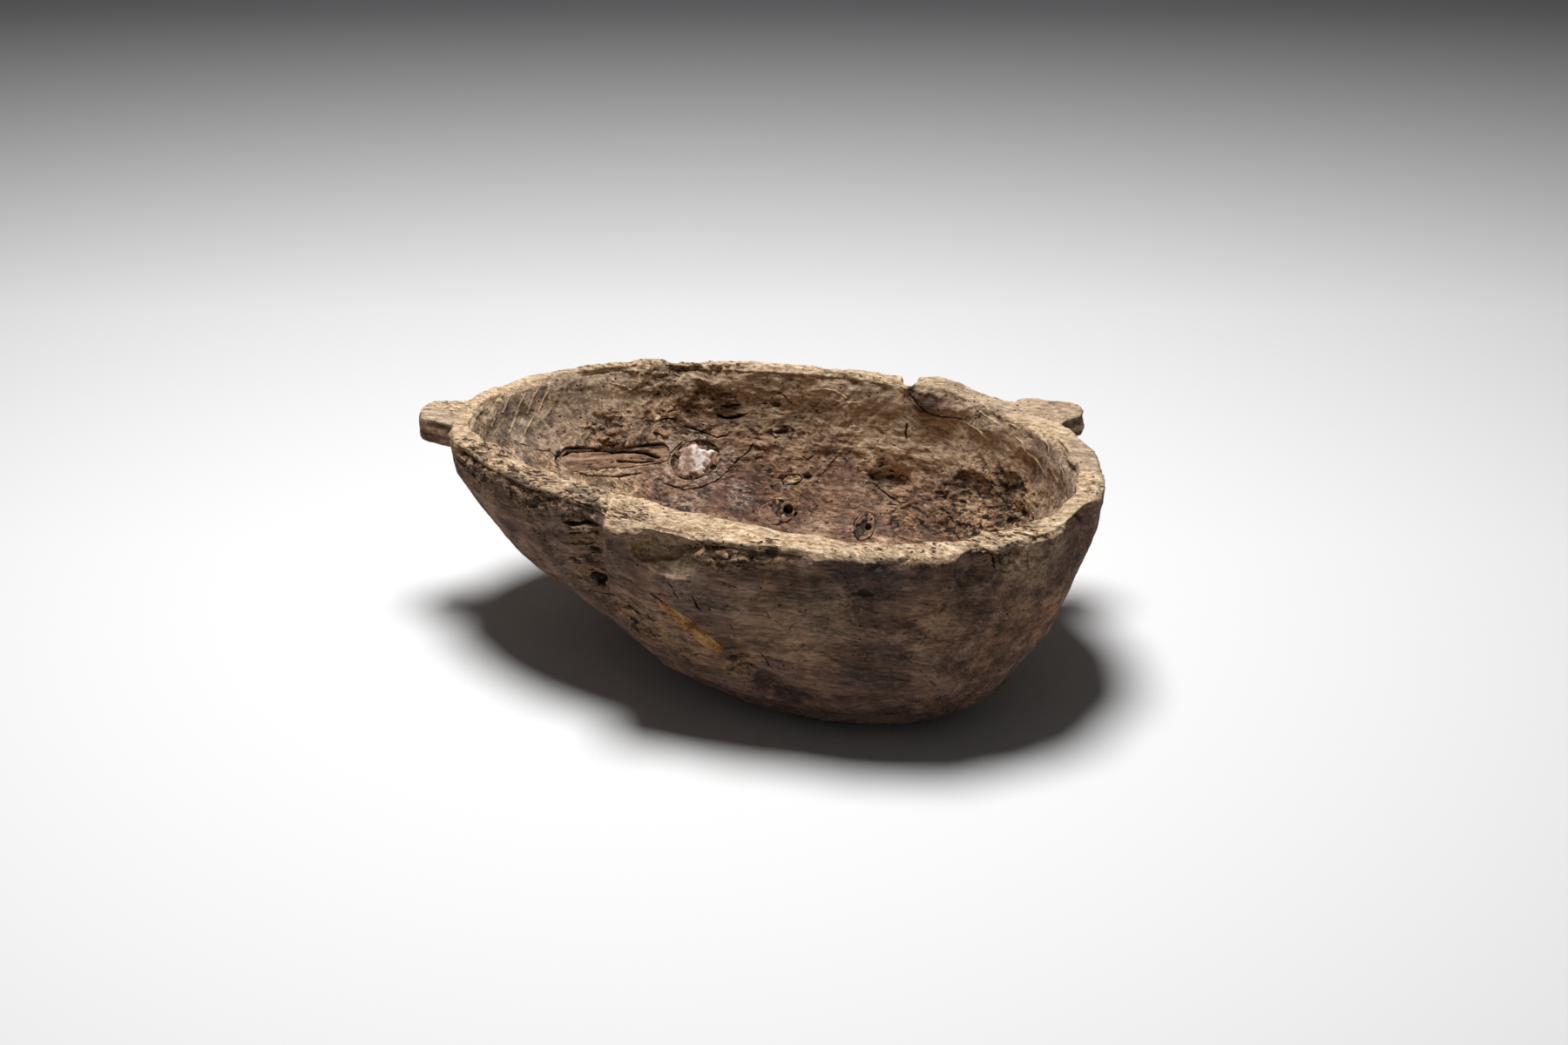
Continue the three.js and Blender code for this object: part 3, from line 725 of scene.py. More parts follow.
    # Cracks, tool marks and single pits
    crack = np.zeros(len(here))
    nearby = shaken(here, 1.5, 9, (131, 134, 137))
    for line, (_, width, deep) in zip(crack_lines, cracks.values()):
        open_share = opened(nearby, line, width)
        depth += deep * open_share
        crack = np.maximum(crack, open_share)
    for line in mark_lines:
        edge = opened(nearby, line, 1.9)
        depth -= 0.9 * edge
        ridge = np.maximum(ridge, edge)
    for spot, radius, deep in pits.values():
        gap = np.linalg.norm((bent - warp * 0.4 - seen_at(spot)) * (0.6, 1, 1.2), axis=1) / radius
        open_share = 1 - rise(gap + 0.6 * ragged + 0.5 * small_pit - 0.2, 0.3, 0.9)
        depth += deep * open_share
        crack = np.maximum(crack, 0.6 * open_share)

    # The fan of fibres that rises over the back wall
    fan_start, fan_end = [seen_at(spot) for spot in fan_of_fibres]
    fan_way = (fan_end - fan_start) / np.linalg.norm(fan_end - fan_start)
    along_fan = here @ fan_way
    off_fan = here - along_fan[:, None] * fan_way
    fan = 1 - rise(np.linalg.norm(here - (fan_start + fan_end) / 2, axis=1), 45, 110)
    fan_lines = rough(off_fan + along_fan[:, None] * 0.05 * fan_way, 6.5, 141, 2)
    depth += fan * inside * (1 - 0.5 * rot) * 2.2 * fan_lines

    # The foot stays flat on the ground
    log.carve(depth * (0.1 + 0.9 * rise(height, 1, 16)))
    log.place[:, 2] = np.maximum(log.place[:, 2], 0)
    log.write()

    # Hollows and pits are painted darker, as dirt and painted shade, and crests and worn edges are bare
    fine_hollow = log.hollow(rounds=2)
    wide_hollow = log.hollow(rounds=14)
    pit = rot * np.maximum(big_pit, 0.9 * small_pit * pit_opens)
    dirt_and_shade = rise(fine_hollow, 0.02, 0.4) * 0.5 + rise(wide_hollow, 0.3, 3.5) * 0.3
    dirt_and_shade += 0.5 * pit + 0.8 * porous * holes
    dirt_and_shade *= (1 - 0.4 * rim_skin) * (1 - 0.7 * bared)
    worn = rise(-fine_hollow, 0.04, 0.35) * 0.65 + rise(-wide_hollow, 0.2, 1.4) * 0.5
    bare_and_lit = rim_skin * (0.85 + 0.2 * ragged) - 0.65 * calm - 0.6 * bevel
    bare_and_lit = np.maximum(bare_and_lit, worn * (0.5 + 0.25 * inside))
    bare_and_lit = np.maximum(bare_and_lit, 0.6 * bared)
    # Inside, the wall that faces the front is painted lighter, as painted light
    bare_and_lit = np.maximum(bare_and_lit, 0.5 * inside * rise(-log.facing[:, 1], 0.5, 0.9) * (1 - stain))
    rot = np.maximum(rot * (1 - 0.5 * rim_skin), bevel * rim_skin)
    # The outside is painted darker towards the bottom, in the stained colour
    low = (1 - rise(height + 30 * ragged, 30, 135)) * outside * (1 - bared)
    stain = np.maximum(stain * inside, 0.85 * low)
    log.paint("wood_state", bare_and_lit, rot * (1 - 0.5 * grey * inside), stain)
    log.paint("wood_marks", dirt_and_shade, grey * (1 - 0.5 * top) * (1 - bared), 0.85 * lime)
    log.paint("wood_parts", outside, porous, painted_shade * (1 - bared))
    log.paint("wood_lines", ridge, crack)
    return log


# The knots and fillings

def face_ways(skin):
    """A plug's middle, and its long way, short way and way out of the wood, found from its shape."""
    middle = skin.place.mean(0)
    _, ways = np.linalg.eigh(np.cov((skin.place - middle).T))
    out, wide, long_way = ways.T
    inward = np.dot(out, hollow_middle - middle) > 0
    return middle, long_way, wide, out if inward else -out


def face_of(skin):
    """Each point's place along, across and out of a plug's face."""
    middle, long_way, wide, out = face_ways(skin)
    spread = skin.place - middle
    return spread @ long_way, spread @ wide, spread @ out


def spread_out(skin, share):
    """Widens a plug in its face, so that it runs over the edge of its pocket and shows no ring."""
    middle, long_way, wide, _ = face_ways(skin)
    for way in (long_way, wide):
        skin.place += share * ((skin.place - middle) @ way)[:, None] * way
    skin.write()


def carve_long_knot():
    """The spike knot, cut along its length: layered fibres, with a black slot and seams."""
    knot = Skin("long_knot", step=1.1)
    spread_out(knot, share=0.05)
    here = knot.place.copy()
    along, across, out = face_of(knot)
    face = np.stack([along * 0.1, across, out], 1)
    front = rise(knot.facing @ face_ways(knot)[3], 0.2, 0.8)
    layers = rough(face + 0.8 * lumps(here, 14, 201)[:, None], 3.4, 203)
    crumbs = rough(here, 5, 205)
    edge = rise(np.abs(across), 8, 13)
    depth = front * (1.7 * layers + 0.9 * crumbs + 0.8 + 1.0 * edge + 2.2 * rough(here, 20, 207))
    slot = np.zeros(len(here))
    ragged = shaken(here, 0.9, 6, (211, 214, 217))
    for line, width, deep in long_knot_slots.values():
        open_share = opened(ragged, [seen_at(spot) for spot in line], width)
        depth += deep * open_share * front
        slot = np.maximum(slot, open_share)
    knot.carve(depth)
    # Hollows and the grooves between layers are darkened as dirt and painted shade, and the knot's sides,
    # most of all the upper one, are painted dark as painted shade in its pocket
    dirt_and_shade = np.maximum(rise(knot.hollow(rounds=3), 0.0, 0.5) * 0.6, 0.7 * rise(-layers, 0.2, 0.6))
    pale = rise(crumbs + 0.5 * layers, 0.25, 0.7) * 0.7
    upper = rise(across * np.sign(face_ways(knot)[2][2]), 2, 8)
    gap = (1 - front) * (0.35 + 0.65 * upper)
    knot.paint("knot_state", 0.5 + 0.5 * layers, pale, np.maximum(np.maximum(dirt_and_shade, slot), gap))
    return knot


def carve_ringed_knot(node, ring_width, sunk, seed):
    """A branch cut across and rotted: broken rings, pits and a ragged edge that runs into the wood, with
    painted shade on its sides.
    """
    knot = Skin(node, step=1.1)
    spread_out(knot, share=0.2)
    here = knot.place.copy()
    along, across, _ = face_of(knot)
    front = rise(knot.facing @ face_ways(knot)[3], 0.2, 0.8)
    half_wide = np.abs(across).max()
    edge = np.hypot(along / np.abs(along).max(), across / half_wide)
    far = edge + 0.35 * rough(here, 16, seed)
    rings = np.sin(far * half_wide / ring_width * 2 * np.pi) * rise(rough(here, 9, seed + 3), -0.2, 0.3)
    pit = pitted(here, 7, seed + 5, 0.4)
    crumbs = rough(here, 4.5, seed + 9)
    depth = front * (sunk + 0.5 * rings + 2.0 * pit + 0.8 * crumbs + 1.5 * rough(here, 14, seed + 7))
    knot.carve(depth + 4.0 * rise(edge, 0.84, 1.0))
    # Hollows and pits are darkened as dirt and painted shade, and the sides that face away from the bowl as
    # painted shade
    dirt_and_shade = rise(knot.hollow(rounds=3), 0.0, 0.5) * 0.6 * (1 - rise(edge, 0.75, 0.9)) + 0.7 * pit
    dark = np.maximum(dirt_and_shade.clip(0, 1), 0.35 - 0.35 * front)
    knot.paint("knot_state", 0.4 + 0.3 * rings + 0.3 * crumbs, rise(crumbs, 0.1, 0.7) * 0.6, dark)
    return knot


def carve_crust():
    """Lime dried on the round knot: a thin, patchy skin with a broken edge."""
    crust = Skin("mineral_crust", step=0.8)
    spread_out(crust, share=0.28)
    here = crust.place.copy()
    along, across, _ = face_of(crust)
    far = np.hypot(along / np.abs(along).max(), across / np.abs(across).max())
    patchy = rough(here, 16, 301)
    fine = rough(here, 4, 305)
    sink = 9 * rise(far + 0.9 * patchy, 0.6, 1.1) + 0.7 * (fine + 0.4) - 1.2
    crust.place -= face_ways(crust)[3] * sink[:, None]
    crust.write()
    # Its hollows are painted darker, as dirt and painted shade
    crust.paint("crust_state", rise(patchy + 0.6 * fine, -0.5, 0.5), rise(crust.hollow(rounds=3), 0.0, 0.4))
    return crust


def carve_gum():
    """Hardened gum: small round beads run together."""
    gum = Skin("knot_gum", step=0.7)
    gum.carve(1.2 * (chips_of(gum.place, 4.5, 401)[0] ** 2 - 0.35))
    return gum


def carve_rotten(node, step, crumb, seed, share):
    """Decayed wood that breaks into small crumbs between checks."""
    rotten = Skin(node, step)
    spread_out(rotten, share)
    _, long_way, wide, out = face_ways(rotten)
    spread = rotten.place - rotten.place.mean(0)
    along = np.stack([spread @ long_way * 0.5, spread @ wide, spread @ out], 1)
    crumbs = rough(along, crumb, seed)
    rotten.carve(2.0 * furrows(along, crumb * 1.6, seed + 5) + 1.5 * crumbs - 0.6)
    # Its hollows are painted darker, as dirt and painted shade
    rotten.paint("rot_state", crumbs * 0.5 + 0.5, rise(rotten.hollow(rounds=3), 0.0, 0.5))
    return rotten


# Materials

def tone(code):
    """An sRGB hex value as linear red, green, blue and full opacity."""
    parts = [int(code[n:n + 2], 16) / 255 for n in (1, 3, 5)]
    return tuple(p / 12.92 if p <= 0.04045 else ((p + 0.055) / 1.055) ** 2.4 for p in parts) + (1.0,)


def add(tree, kind, inputs=None, stops=None, out=0, **settings):
    """Adds one node with its settings, its ramp's stops, and a value or a link for each input.
    Gives one of its outputs, by number or name, or all of them where out is None."""
    node = tree.nodes.new("ShaderNode" + kind)
    for name, value in settings.items():
        setattr(node, name, value)
    if stops:
        ramp = node.color_ramp.elements
        while len(ramp) < len(stops):
            ramp.new(1.0)
        for stop, (place, code) in zip(ramp, stops):
            stop.position = place
            stop.color = tone(code)
    for name, value in (inputs or {}).items():
        if isinstance(value, bpy.types.NodeSocket):
            tree.links.new(value, node.inputs[name])
        else:
            node.inputs[name].default_value = value
    return node.outputs if out is None else node.outputs[out]


def blank_material(name):
    """A new material with nothing in it, and the places of the object's points for its patterns."""
    material = bpy.data.materials.new(name)
    material.use_nodes = True
    tree = material.node_tree
    tree.nodes.clear()
    return material, tree, add(tree, "TexCoord", out="Object")


def painted(tree, name):
    """The shares that a skin keeps under one name."""
    paint = add(tree, "Attribute", attribute_name=name)
    shares = add(tree, "SeparateColor", {"Color": paint}, out=None)
    return shares["Red"], shares["Green"], shares["Blue"]


def per_metre(size):
    """A pattern scale that repeats about once in so many millimetres."""
    return 1000 / size


def adzed_weathered_hardwood():
    """An old log carved with an adze, dried, worn grey-brown, eaten by borers and partly rotted.
    Worn edges are pale and dusty, hollows are darkened by dirt and painted shade, and nothing shines. Gaps,
    creases and the underside of the rims get near-black painted shade, and the inner wall that faces the
    front is painted lighter, as painted light."""
    material, tree, where = blank_material("adzed_weathered_hardwood")
    bare_and_lit, rot, stain = painted(tree, "wood_state")
    dirt_and_shade, greyed_share, lime = painted(tree, "wood_marks")
    # The parts: the outside, the porous rim, and painted shade in gaps, creases and under the rims
    outside, porous, painted_shade = painted(tree, "wood_parts")
    ridge, crack, _ = painted(tree, "wood_lines")

    # The grain wanders by up to 22 mm, so what follows it reads a bent copy of the place, drawn out along
    # the log 14 times for whole fibres and 2.4 times for broken ones
    wander = add(tree, "TexNoise", {"Vector": where, "Scale": per_metre(130), "Detail": 1.0}, out="Color")
    bend = add(tree, "VectorMath", {0: wander, 1: (0.5, 0.5, 0.5)}, operation="SUBTRACT")
    bend = add(tree, "VectorMath", {0: bend, "Scale": 0.045}, operation="SCALE")
    bent = add(tree, "VectorMath", {0: where, 1: bend}, operation="ADD")
    along = add(tree, "VectorMath", {0: bent, 1: (0.07, 1.0, 1.0)}, operation="MULTIPLY")
    short = add(tree, "VectorMath", {0: bent, 1: (0.42, 1.0, 1.0)}, operation="MULTIPLY")

    # Fibres are a fraction of a millimetre, drawn here 2.5 mm wide so that they show
    fibres = add(tree, "TexNoise",
                 {"Vector": along, "Scale": per_metre(2.5), "Detail": 4.0, "Roughness": 0.65})
    # Bands of growth rings cut on the slant, about 12 mm wide
    rings = add(tree, "TexNoise", {"Vector": along, "Scale": per_metre(12), "Detail": 3.0})
    # Uneven drying, in clouds of 36 mm and patches of 110 mm
    clouds = add(tree, "TexNoise",
                 {"Vector": where, "Scale": per_metre(36), "Detail": 5.0, "Roughness": 0.68})
    patches = add(tree, "TexNoise",
                  {"Vector": where, "Scale": per_metre(110), "Detail": 3.0, "Roughness": 0.6})
    # Crumbs of broken fibre are 1 to 3 mm, drawn 3.6 mm wide so that they show
    crumbs = add(tree, "TexNoise",
                 {"Vector": short, "Scale": per_metre(3.6), "Detail": 4.0, "Roughness": 0.75})
    # Borer tracks are 1.5 mm wide: of this pattern of 4.2 mm only the deepest part is drawn
    tracks = add(tree, "TexNoise", {"Vector": short, "Scale": per_metre(4.2), "Detail": 2.0, "Roughness": 0.6,
                                    "Distortion": 0.6})
    # Cavities between the crumbs, 4 to 8 mm
    cavities = add(tree, "TexNoise",
                   {"Vector": short, "Scale": per_metre(8), "Detail": 4.0, "Roughness": 0.7})
    # Torn fibre ends, light and dark, 2 to 6 mm
    flecks = add(tree, "TexNoise",
                 {"Vector": short, "Scale": per_metre(5.5), "Detail": 6.0, "Roughness": 0.8})
    # Borer holes of 1 to 2 mm, drawn 2.4 mm wide and 14 mm apart
    holes = add(tree, "TexVoronoi", {"Vector": where, "Scale": per_metre(14), "Randomness": 1.0})

    grain = add(tree, "Math", {0: fibres, 1: clouds}, operation="ADD")
    grain = add(tree, "Math", {0: grain, 1: rings}, operation="ADD")
    grain = add(tree, "Math", {0: grain, 1: 3.0}, operation="DIVIDE")
    inner = add(tree, "ValToRGB", {"Fac": grain},
                [(0.41, "#655244"), (0.5, "#a68b75"), (0.59, "#e0c4a8")])
    hull = add(tree, "ValToRGB", {"Fac": grain},
               [(0.42, "#5f4130"), (0.5, "#a77a5e"), (0.58, "#e0ad86")])
    inner_grey = add(tree, "ValToRGB", {"Fac": grain},
                     [(0.41, "#5a4c44"), (0.5, "#917f70"), (0.59, "#c9b29d")])
    hull_grey = add(tree, "ValToRGB", {"Fac": grain},
                    [(0.42, "#3c2f2d"), (0.5, "#6d5952"), (0.58, "#a3887a")])
    stained = add(tree, "ValToRGB", {"Fac": grain},
                  [(0.41, "#3a2620"), (0.5, "#6c4e43"), (0.59, "#a07c6b")])
    pale = add(tree, "ValToRGB", {"Fac": crumbs},
               [(0.36, "#96704a"), (0.48, "#d6b48c"), (0.6, "#fbe2c0")])
    rotten = add(tree, "ValToRGB", {"Fac": crumbs},
                 [(0.38, "#784b2a"), (0.5, "#d29c68"), (0.6, "#fcd4a0")])

    # Sound wood, greyed, stained, rotten, and worn bare or painted lighter as painted light, one over the
    # other
    sound = add(tree, "Mix", {0: outside, 6: inner, 7: hull}, **in_colour)
    greyed = add(tree, "Mix", {0: outside, 6: inner_grey, 7: hull_grey}, **in_colour)
    patch = add(tree, "MapRange", {"Value": patches, "From Min": 0.44, "From Max": 0.6})
    patch = add(tree, "Math", {0: patch, 1: 0.8}, operation="MULTIPLY")
    grey_share = add(tree, "Math", {0: greyed_share, 1: patch}, operation="MAXIMUM")
    cloud = add(tree, "MapRange", {"Value": clouds, "From Min": 0.4, "From Max": 0.54})
    broken_up = add(tree, "MapRange", {"Value": cloud, "To Min": 0.5, "To Max": 1.0})
    grey_share = add(tree, "Math", {0: grey_share, 1: broken_up}, operation="MULTIPLY")
    wood = add(tree, "Mix", {0: grey_share, 6: sound, 7: greyed}, **in_colour)
    wood = add(tree, "Mix", {0: stain, 6: wood, 7: stained}, **in_colour)
    rot_share = add(tree, "Math", {0: rot, 1: 0.75}, operation="MULTIPLY", use_clamp=True)
    rot_share = add(tree, "Math", {0: rot_share, 1: cloud}, operation="MULTIPLY")
    wood = add(tree, "Mix", {0: rot_share, 6: wood, 7: rotten}, **in_colour)
    bare_and_lit_share = add(tree, "Math", {0: crumbs, 1: 0.5}, operation="SUBTRACT")
    bare_and_lit_share = add(tree, "Math", {0: bare_and_lit_share, 1: 1.2, 2: bare_and_lit}, operation="MULTIPLY_ADD", use_clamp=True)
    wood = add(tree, "Mix", {0: bare_and_lit_share, 6: wood, 7: pale}, **in_colour)

    # Inside the bowl the stain has soaked the bare wood too
    soaked = add(tree, "Math", {0: 1.0, 1: outside}, operation="SUBTRACT")
    soaked = add(tree, "Math", {0: soaked, 1: 0.55}, operation="MULTIPLY")
    soaked = add(tree, "Math", {0: soaked, 1: stain}, operation="MULTIPLY")
    wood = add(tree, "Mix", {0: soaked, 6: wood, 7: stained}, **in_colour)

    # Flecks are strongest inside, and weak where the wood is tooled, sound or worn smooth
    fleck = add(tree, "MapRange",
                {"Value": flecks, "From Min": 0.4, "From Max": 0.6, "To Min": -0.46, "To Max": 0.5})
    smooth = add(tree, "Math", {0: outside, 1: bare_and_lit}, operation="MAXIMUM")
    tooled = add(tree, "Math", {0: greyed_share, 1: 0.5}, operation="MULTIPLY")
    smooth = add(tree, "Math", {0: smooth, 1: tooled}, operation="MAXIMUM")
    strength = add(tree, "MapRange", {"Value": smooth, "To Min": 1.0, "To Max": 0.5})
    uneven = add(tree, "MapRange",
                 {"Value": clouds, "From Min": 0.42, "From Max": 0.58, "To Min": 0.35, "To Max": 1.15})
    strength = add(tree, "Math", {0: strength, 1: uneven}, operation="MULTIPLY")
    solid = add(tree, "Math", {0: bare_and_lit, 1: porous}, operation="SUBTRACT", use_clamp=True)
    solid = add(tree, "MapRange", {"Value": solid, "To Min": 1.0, "To Max": 0.4})
    strength = add(tree, "Math", {0: strength, 1: solid}, operation="MULTIPLY")
    fleck = add(tree, "Math", {0: fleck, 1: strength, 2: 1.1}, operation="MULTIPLY_ADD")
    wood = add(tree, "VectorMath", {0: wood, "Scale": fleck}, operation="SCALE")

    # Cavities open only where the wood is rotten
    limit = add(tree, "MapRange", {"Value": rot, "To Min": 0.3, "To Max": 0.475})
    cavity = add(tree, "Math", {0: limit, 1: cavities}, operation="SUBTRACT")
    cavity = add(tree, "Math", {0: cavity, 1: 22.0}, operation="MULTIPLY", use_clamp=True)

    # Tracks are many where the rim is eaten, fewer where it is rotten, and few on the sound hull
    eaten = add(tree, "Math", {0: rot, 1: 0.55}, operation="MULTIPLY")
    eaten = add(tree, "Math", {0: eaten, 1: porous}, operation="MAXIMUM")
    limit = add(tree, "MapRange", {"Value": eaten, "To Min": 0.33, "To Max": 0.45})
    track = add(tree, "Math", {0: limit, 1: tracks}, operation="SUBTRACT")
    track = add(tree, "Math", {0: track, 1: 26.0}, operation="MULTIPLY", use_clamp=True)

    hole = add(tree, "MapRange",
               {"Value": holes, "From Min": 0.07, "From Max": 0.1, "To Min": 1.0, "To Max": 0.0})
    # Hollows and pits darkened, as dirt and painted shade
    dirt_and_shade_share = add(tree, "Math", {0: dirt_and_shade, 1: 0.75}, operation="MULTIPLY", use_clamp=True)
    lime_share = add(tree, "Math", {0: crumbs, 1: 0.48}, operation="SUBTRACT")
    lime_share = add(tree, "Math", {0: lime_share, 1: 9.0}, operation="MULTIPLY", use_clamp=True)
    lime_share = add(tree, "Math", {0: lime_share, 1: lime}, operation="MULTIPLY")

    # Pale ridges, dark holes, dirt and painted shade, cracks, white lime and near-black painted shade, one
    # over the other
    marks = [(ridge, "#e6c8a2"), (cavity, "#2f1e14"), (track, "#5c3b22"), (hole, "#1d130d"),
             (dirt_and_shade_share, "#2f2017"), (crack, "#130c08"), (lime_share, "#e2d6cc"), (painted_shade, "#0c0806")]
    for share, code in marks:
        wood = add(tree, "Mix", {0: share, 6: wood, 7: tone(code)}, **in_colour)

    # Bumps, with their height in units of 2.4 mm
    broken = add(tree, "Math", {0: bare_and_lit, 1: rot}, operation="MAXIMUM")
    height = add(tree, "Math", {0: fibres, 1: 0.7}, operation="MULTIPLY")
    height = add(tree, "Math", {0: crumbs, 1: broken, 2: height}, operation="MULTIPLY_ADD")
    height = add(tree, "Math", {0: flecks, 1: 1.6, 2: height}, operation="MULTIPLY_ADD")
    for sunk in (hole, track, cavity):
        height = add(tree, "Math", {0: height, 1: sunk}, operation="SUBTRACT")
    bump = add(tree, "Bump", {"Height": height, "Strength": 1.0, "Distance": 0.0024})
    shader = add(tree, "BsdfPrincipled", {"Base Color": wood, "Roughness": 0.86, "IOR": 1.45, "Normal": bump})
    add(tree, "OutputMaterial", {"Surface": shader}, out=None)
    return material


def split_branch_end_grain():
    """Dense branch wood seen on its end: brown rings, black splits and worn pale fibre tips, dull."""
    material, tree, where = blank_material("split_branch_end_grain")
    ring, pale, dark = painted(tree, "knot_state")
    # Vessel ends of 0.3 mm, drawn 1.5 mm wide so that they show
    pores = add(tree, "TexNoise", {"Vector": where, "Scale": per_metre(1.5), "Detail": 3.0, "Roughness": 0.7})
    ring = add(tree, "Math", {0: ring, 1: pores}, operation="ADD")
    ring = add(tree, "Math", {0: ring, 1: 0.5}, operation="MULTIPLY")
    wood = add(tree, "ValToRGB", {"Fac": ring}, [(0.34, "#543a29"), (0.5, "#91705a"), (0.66, "#c09b7c")])
    wood = add(tree, "Mix", {0: pale, 6: wood, 7: tone("#c9a98a")}, **in_colour)
    # The dark share holds dirt, black slots, and painted shade in hollows and on the knots' sides
    wood = add(tree, "Mix", {0: dark, 6: wood, 7: tone("#17100c")}, **in_colour)
    bump = add(tree, "Bump", {"Height": pores, "Strength": 0.8, "Distance": 0.001})
    shader = add(tree, "BsdfPrincipled", {"Base Color": wood, "Roughness": 0.8, "IOR": 1.45, "Normal": bump})
    add(tree, "OutputMaterial", {"Surface": shader}, out=None)
    return material


def dried_plant_gum():
    """Gum that bled from the knot and set hard: black-brown and glassy."""
    material, tree, where = blank_material("dried_plant_gum")
    # Flow streaks of about 5 mm
    streaks = add(tree, "TexNoise", {"Vector": where, "Scale": per_metre(5), "Detail": 2.0})
    body = add(tree, "ValToRGB", {"Fac": streaks}, [(0.4, "#0d0806"), (0.65, "#2c1a10")])
    shader = add(tree, "BsdfPrincipled", {"Base Color": body, "Roughness": 0.16, "IOR": 1.5})
    add(tree, "OutputMaterial", {"Surface": shader}, out=None)
    return material


def dried_lime_crust():
    """Lime left by dried water: chalk white, pink-brown where the wood shows through, and quite matt."""
    material, tree, where = blank_material("dried_lime_crust")
    chalk, dirt_and_shade, _ = painted(tree, "crust_state")
    # Powder grains of 0.2 mm, drawn 1.6 mm wide so that they show
    powder = add(tree, "TexNoise",
                 {"Vector": where, "Scale": per_metre(1.6), "Detail": 3.0, "Roughness": 0.7})
    share = add(tree, "Math", {0: chalk, 1: powder}, operation="ADD")
    share = add(tree, "Math", {0: share, 1: 0.5}, operation="MULTIPLY")
    lime = add(tree, "ValToRGB", {"Fac": share}, [(0.25, "#94745f"), (0.45, "#cdb3a3"), (0.65, "#f0e8e0")])
    # Hollows darker, as dirt and painted shade
    lime = add(tree, "Mix", {0: dirt_and_shade, 6: lime, 7: tone("#6e5445")}, **in_colour)
    bump = add(tree, "Bump", {"Height": powder, "Strength": 0.7, "Distance": 0.0008})
    shader = add(tree, "BsdfPrincipled", {"Base Color": lime, "Roughness": 0.95, "IOR": 1.5, "Normal": bump})
    add(tree, "OutputMaterial", {"Surface": shader}, out=None)
    return material


def crumbling_rotten_wood(name, dark, middle, light):
    """Dry-rotted sapwood: loose orange-tan crumbs with dark clefts, quite matt."""
    material, tree, where = blank_material(name)
    crumb, dirt_and_shade, _ = painted(tree, "rot_state")
    # Crumbs of 1 to 3 mm
    crumbs = add(tree, "TexNoise",
                 {"Vector": where, "Scale": per_metre(2.4), "Detail": 3.0, "Roughness": 0.7})
    share = add(tree, "Math", {0: crumb, 1: crumbs}, operation="ADD")
    share = add(tree, "Math", {0: share, 1: 0.5}, operation="MULTIPLY")
    wood = add(tree, "ValToRGB", {"Fac": share}, [(0.36, dark), (0.5, middle), (0.62, light)])
    # Hollows darker, as dirt and painted shade
    dirt_and_shade = add(tree, "Math", {0: dirt_and_shade, 1: 0.85}, operation="MULTIPLY")
    wood = add(tree, "Mix", {0: dirt_and_shade, 6: wood, 7: tone("#2a190f")}, **in_colour)
    bump = add(tree, "Bump", {"Height": crumbs, "Strength": 1.0, "Distance": 0.0015})
    shader = add(tree, "BsdfPrincipled", {"Base Color": wood, "Roughness": 0.92, "IOR": 1.45, "Normal": bump})
    add(tree, "OutputMaterial", {"Surface": shader}, out=None)
    return material


# Floor and light

def white_painted_floor():
    """A white-painted studio floor, greyed towards the back with painted shade, and an even grey in reflected
    light.
    """
    material, tree, where = blank_material("white_painted_floor")
    far = add(tree, "VectorMath", {0: where, 1: away_from_camera}, out="Value", operation="DOT_PRODUCT")
    back = add(tree, "MapRange", {"Value": far, "From Min": floor_greys_from, "From Max": floor_greys_to})
    # Painted shade: the floor greys towards the back
    painted_falloff_greys = [(0.0, "#ececec"), (0.31, "#e2e2e3"), (0.69, "#a7a7a8"), (0.91, "#737375"), (1.0, "#626264")]
    colour = add(tree, "ValToRGB", {"Fac": back}, painted_falloff_greys)
    seen = add(tree, "LightPath", out=None)
    direct = add(tree, "Math", {0: seen["Is Camera Ray"], 1: seen["Is Glossy Ray"]}, operation="MAXIMUM")
    direct = add(tree, "Math", {0: direct, 1: seen["Is Transmission Ray"]}, operation="MAXIMUM")
    colour = add(tree, "Mix", {0: direct, 6: tone("#a8a8a8"), 7: colour}, **in_colour)
    shader = add(tree, "BsdfPrincipled", {"Base Color": colour, "Roughness": 0.8})
    add(tree, "OutputMaterial", {"Surface": shader}, out=None)
    return material


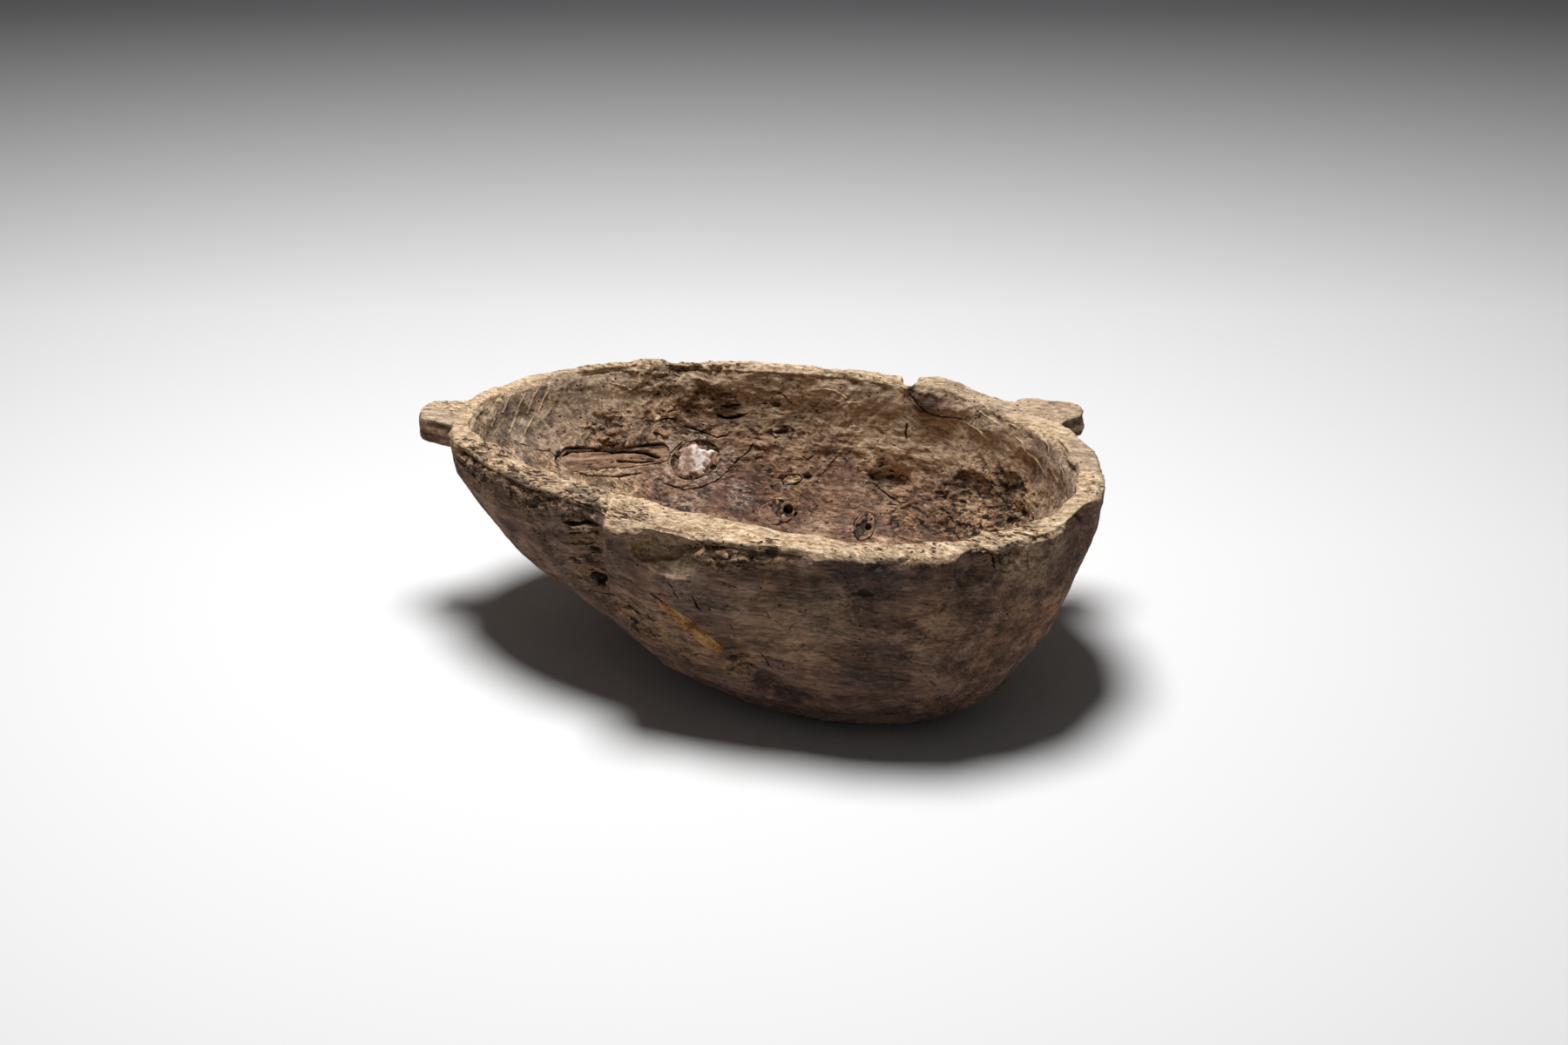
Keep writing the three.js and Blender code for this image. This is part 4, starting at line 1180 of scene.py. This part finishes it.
def lay_floor():
    """A wide flat floor under the bowl."""
    corners = [(x * floor_reach, y * floor_reach, 0) for x, y in ((-1, -1), (1, -1), (1, 1), (-1, 1))]
    mesh = bpy.data.meshes.new("floor")
    mesh.from_pydata(corners, [], [(0, 1, 2, 3)])
    mesh.materials.append(white_painted_floor())
    floor = bpy.data.objects.new("floor", mesh)
    bpy.context.scene.collection.objects.link(floor)


def light_studio():
    """One round softbox nearly overhead, and an even, weaker light from all around."""
    data = bpy.data.lights.new("overhead_softbox", "AREA")
    data.shape = "DISK"
    data.size = softbox_width
    data.energy = softbox_power
    softbox = bpy.data.objects.new("overhead_softbox", data)
    softbox.location = softbox_place
    softbox.rotation_euler = (softbox_target - softbox_place).to_track_quat("-Z", "Y").to_euler()
    bpy.context.scene.collection.objects.link(softbox)
    world = bpy.data.worlds.new("studio")
    world.use_nodes = True
    world.node_tree.nodes.clear()
    bpy.context.scene.world = world
    soft = add(world.node_tree, "Background", {"Color": tone("#ffffff"), "Strength": world_strength})
    add(world.node_tree, "OutputWorld", {"Surface": soft}, out=None)


bpy.context.scene.view_settings.view_transform = "Standard"
lay_floor()
light_studio()

old_wood = adzed_weathered_hardwood()
carve_log().finish("bowl_body", "old_wood", old_wood)

knot_wood = split_branch_end_grain()
carve_long_knot().finish("long_knot", "knot_wood", knot_wood)
for node, ring_width, sunk, seed in (("round_knot", 5.0, -0.8, 221), ("floor_knot_front", 4.0, 0.2, 231),
                                     ("floor_knot_right", 4.0, 0.2, 241)):
    carve_ringed_knot(node, ring_width, sunk, seed).finish(node, "knot_wood", knot_wood)
carve_gum().finish("knot_gum", "dried_gum", dried_plant_gum())
carve_crust().finish("mineral_crust", "mineral_crust", dried_lime_crust())
orange_rot = crumbling_rotten_wood("crumbling_orange_rot", "#7a4a24", "#cf8f52", "#f4c283")
plug = carve_rotten("rot_plug", step=1.0, crumb=6.0, seed=501, share=0.3)
plug.finish("rot_plug", "rotten_wood", orange_rot)
pale_rot = crumbling_rotten_wood("splintered_pale_rot", "#7b6046", "#b89a78", "#dcc3a0")
chip = carve_rotten("rot_chip", step=0.8, crumb=4.0, seed=511, share=0.05)
chip.finish("rot_chip", "rotten_wood", pale_rot)
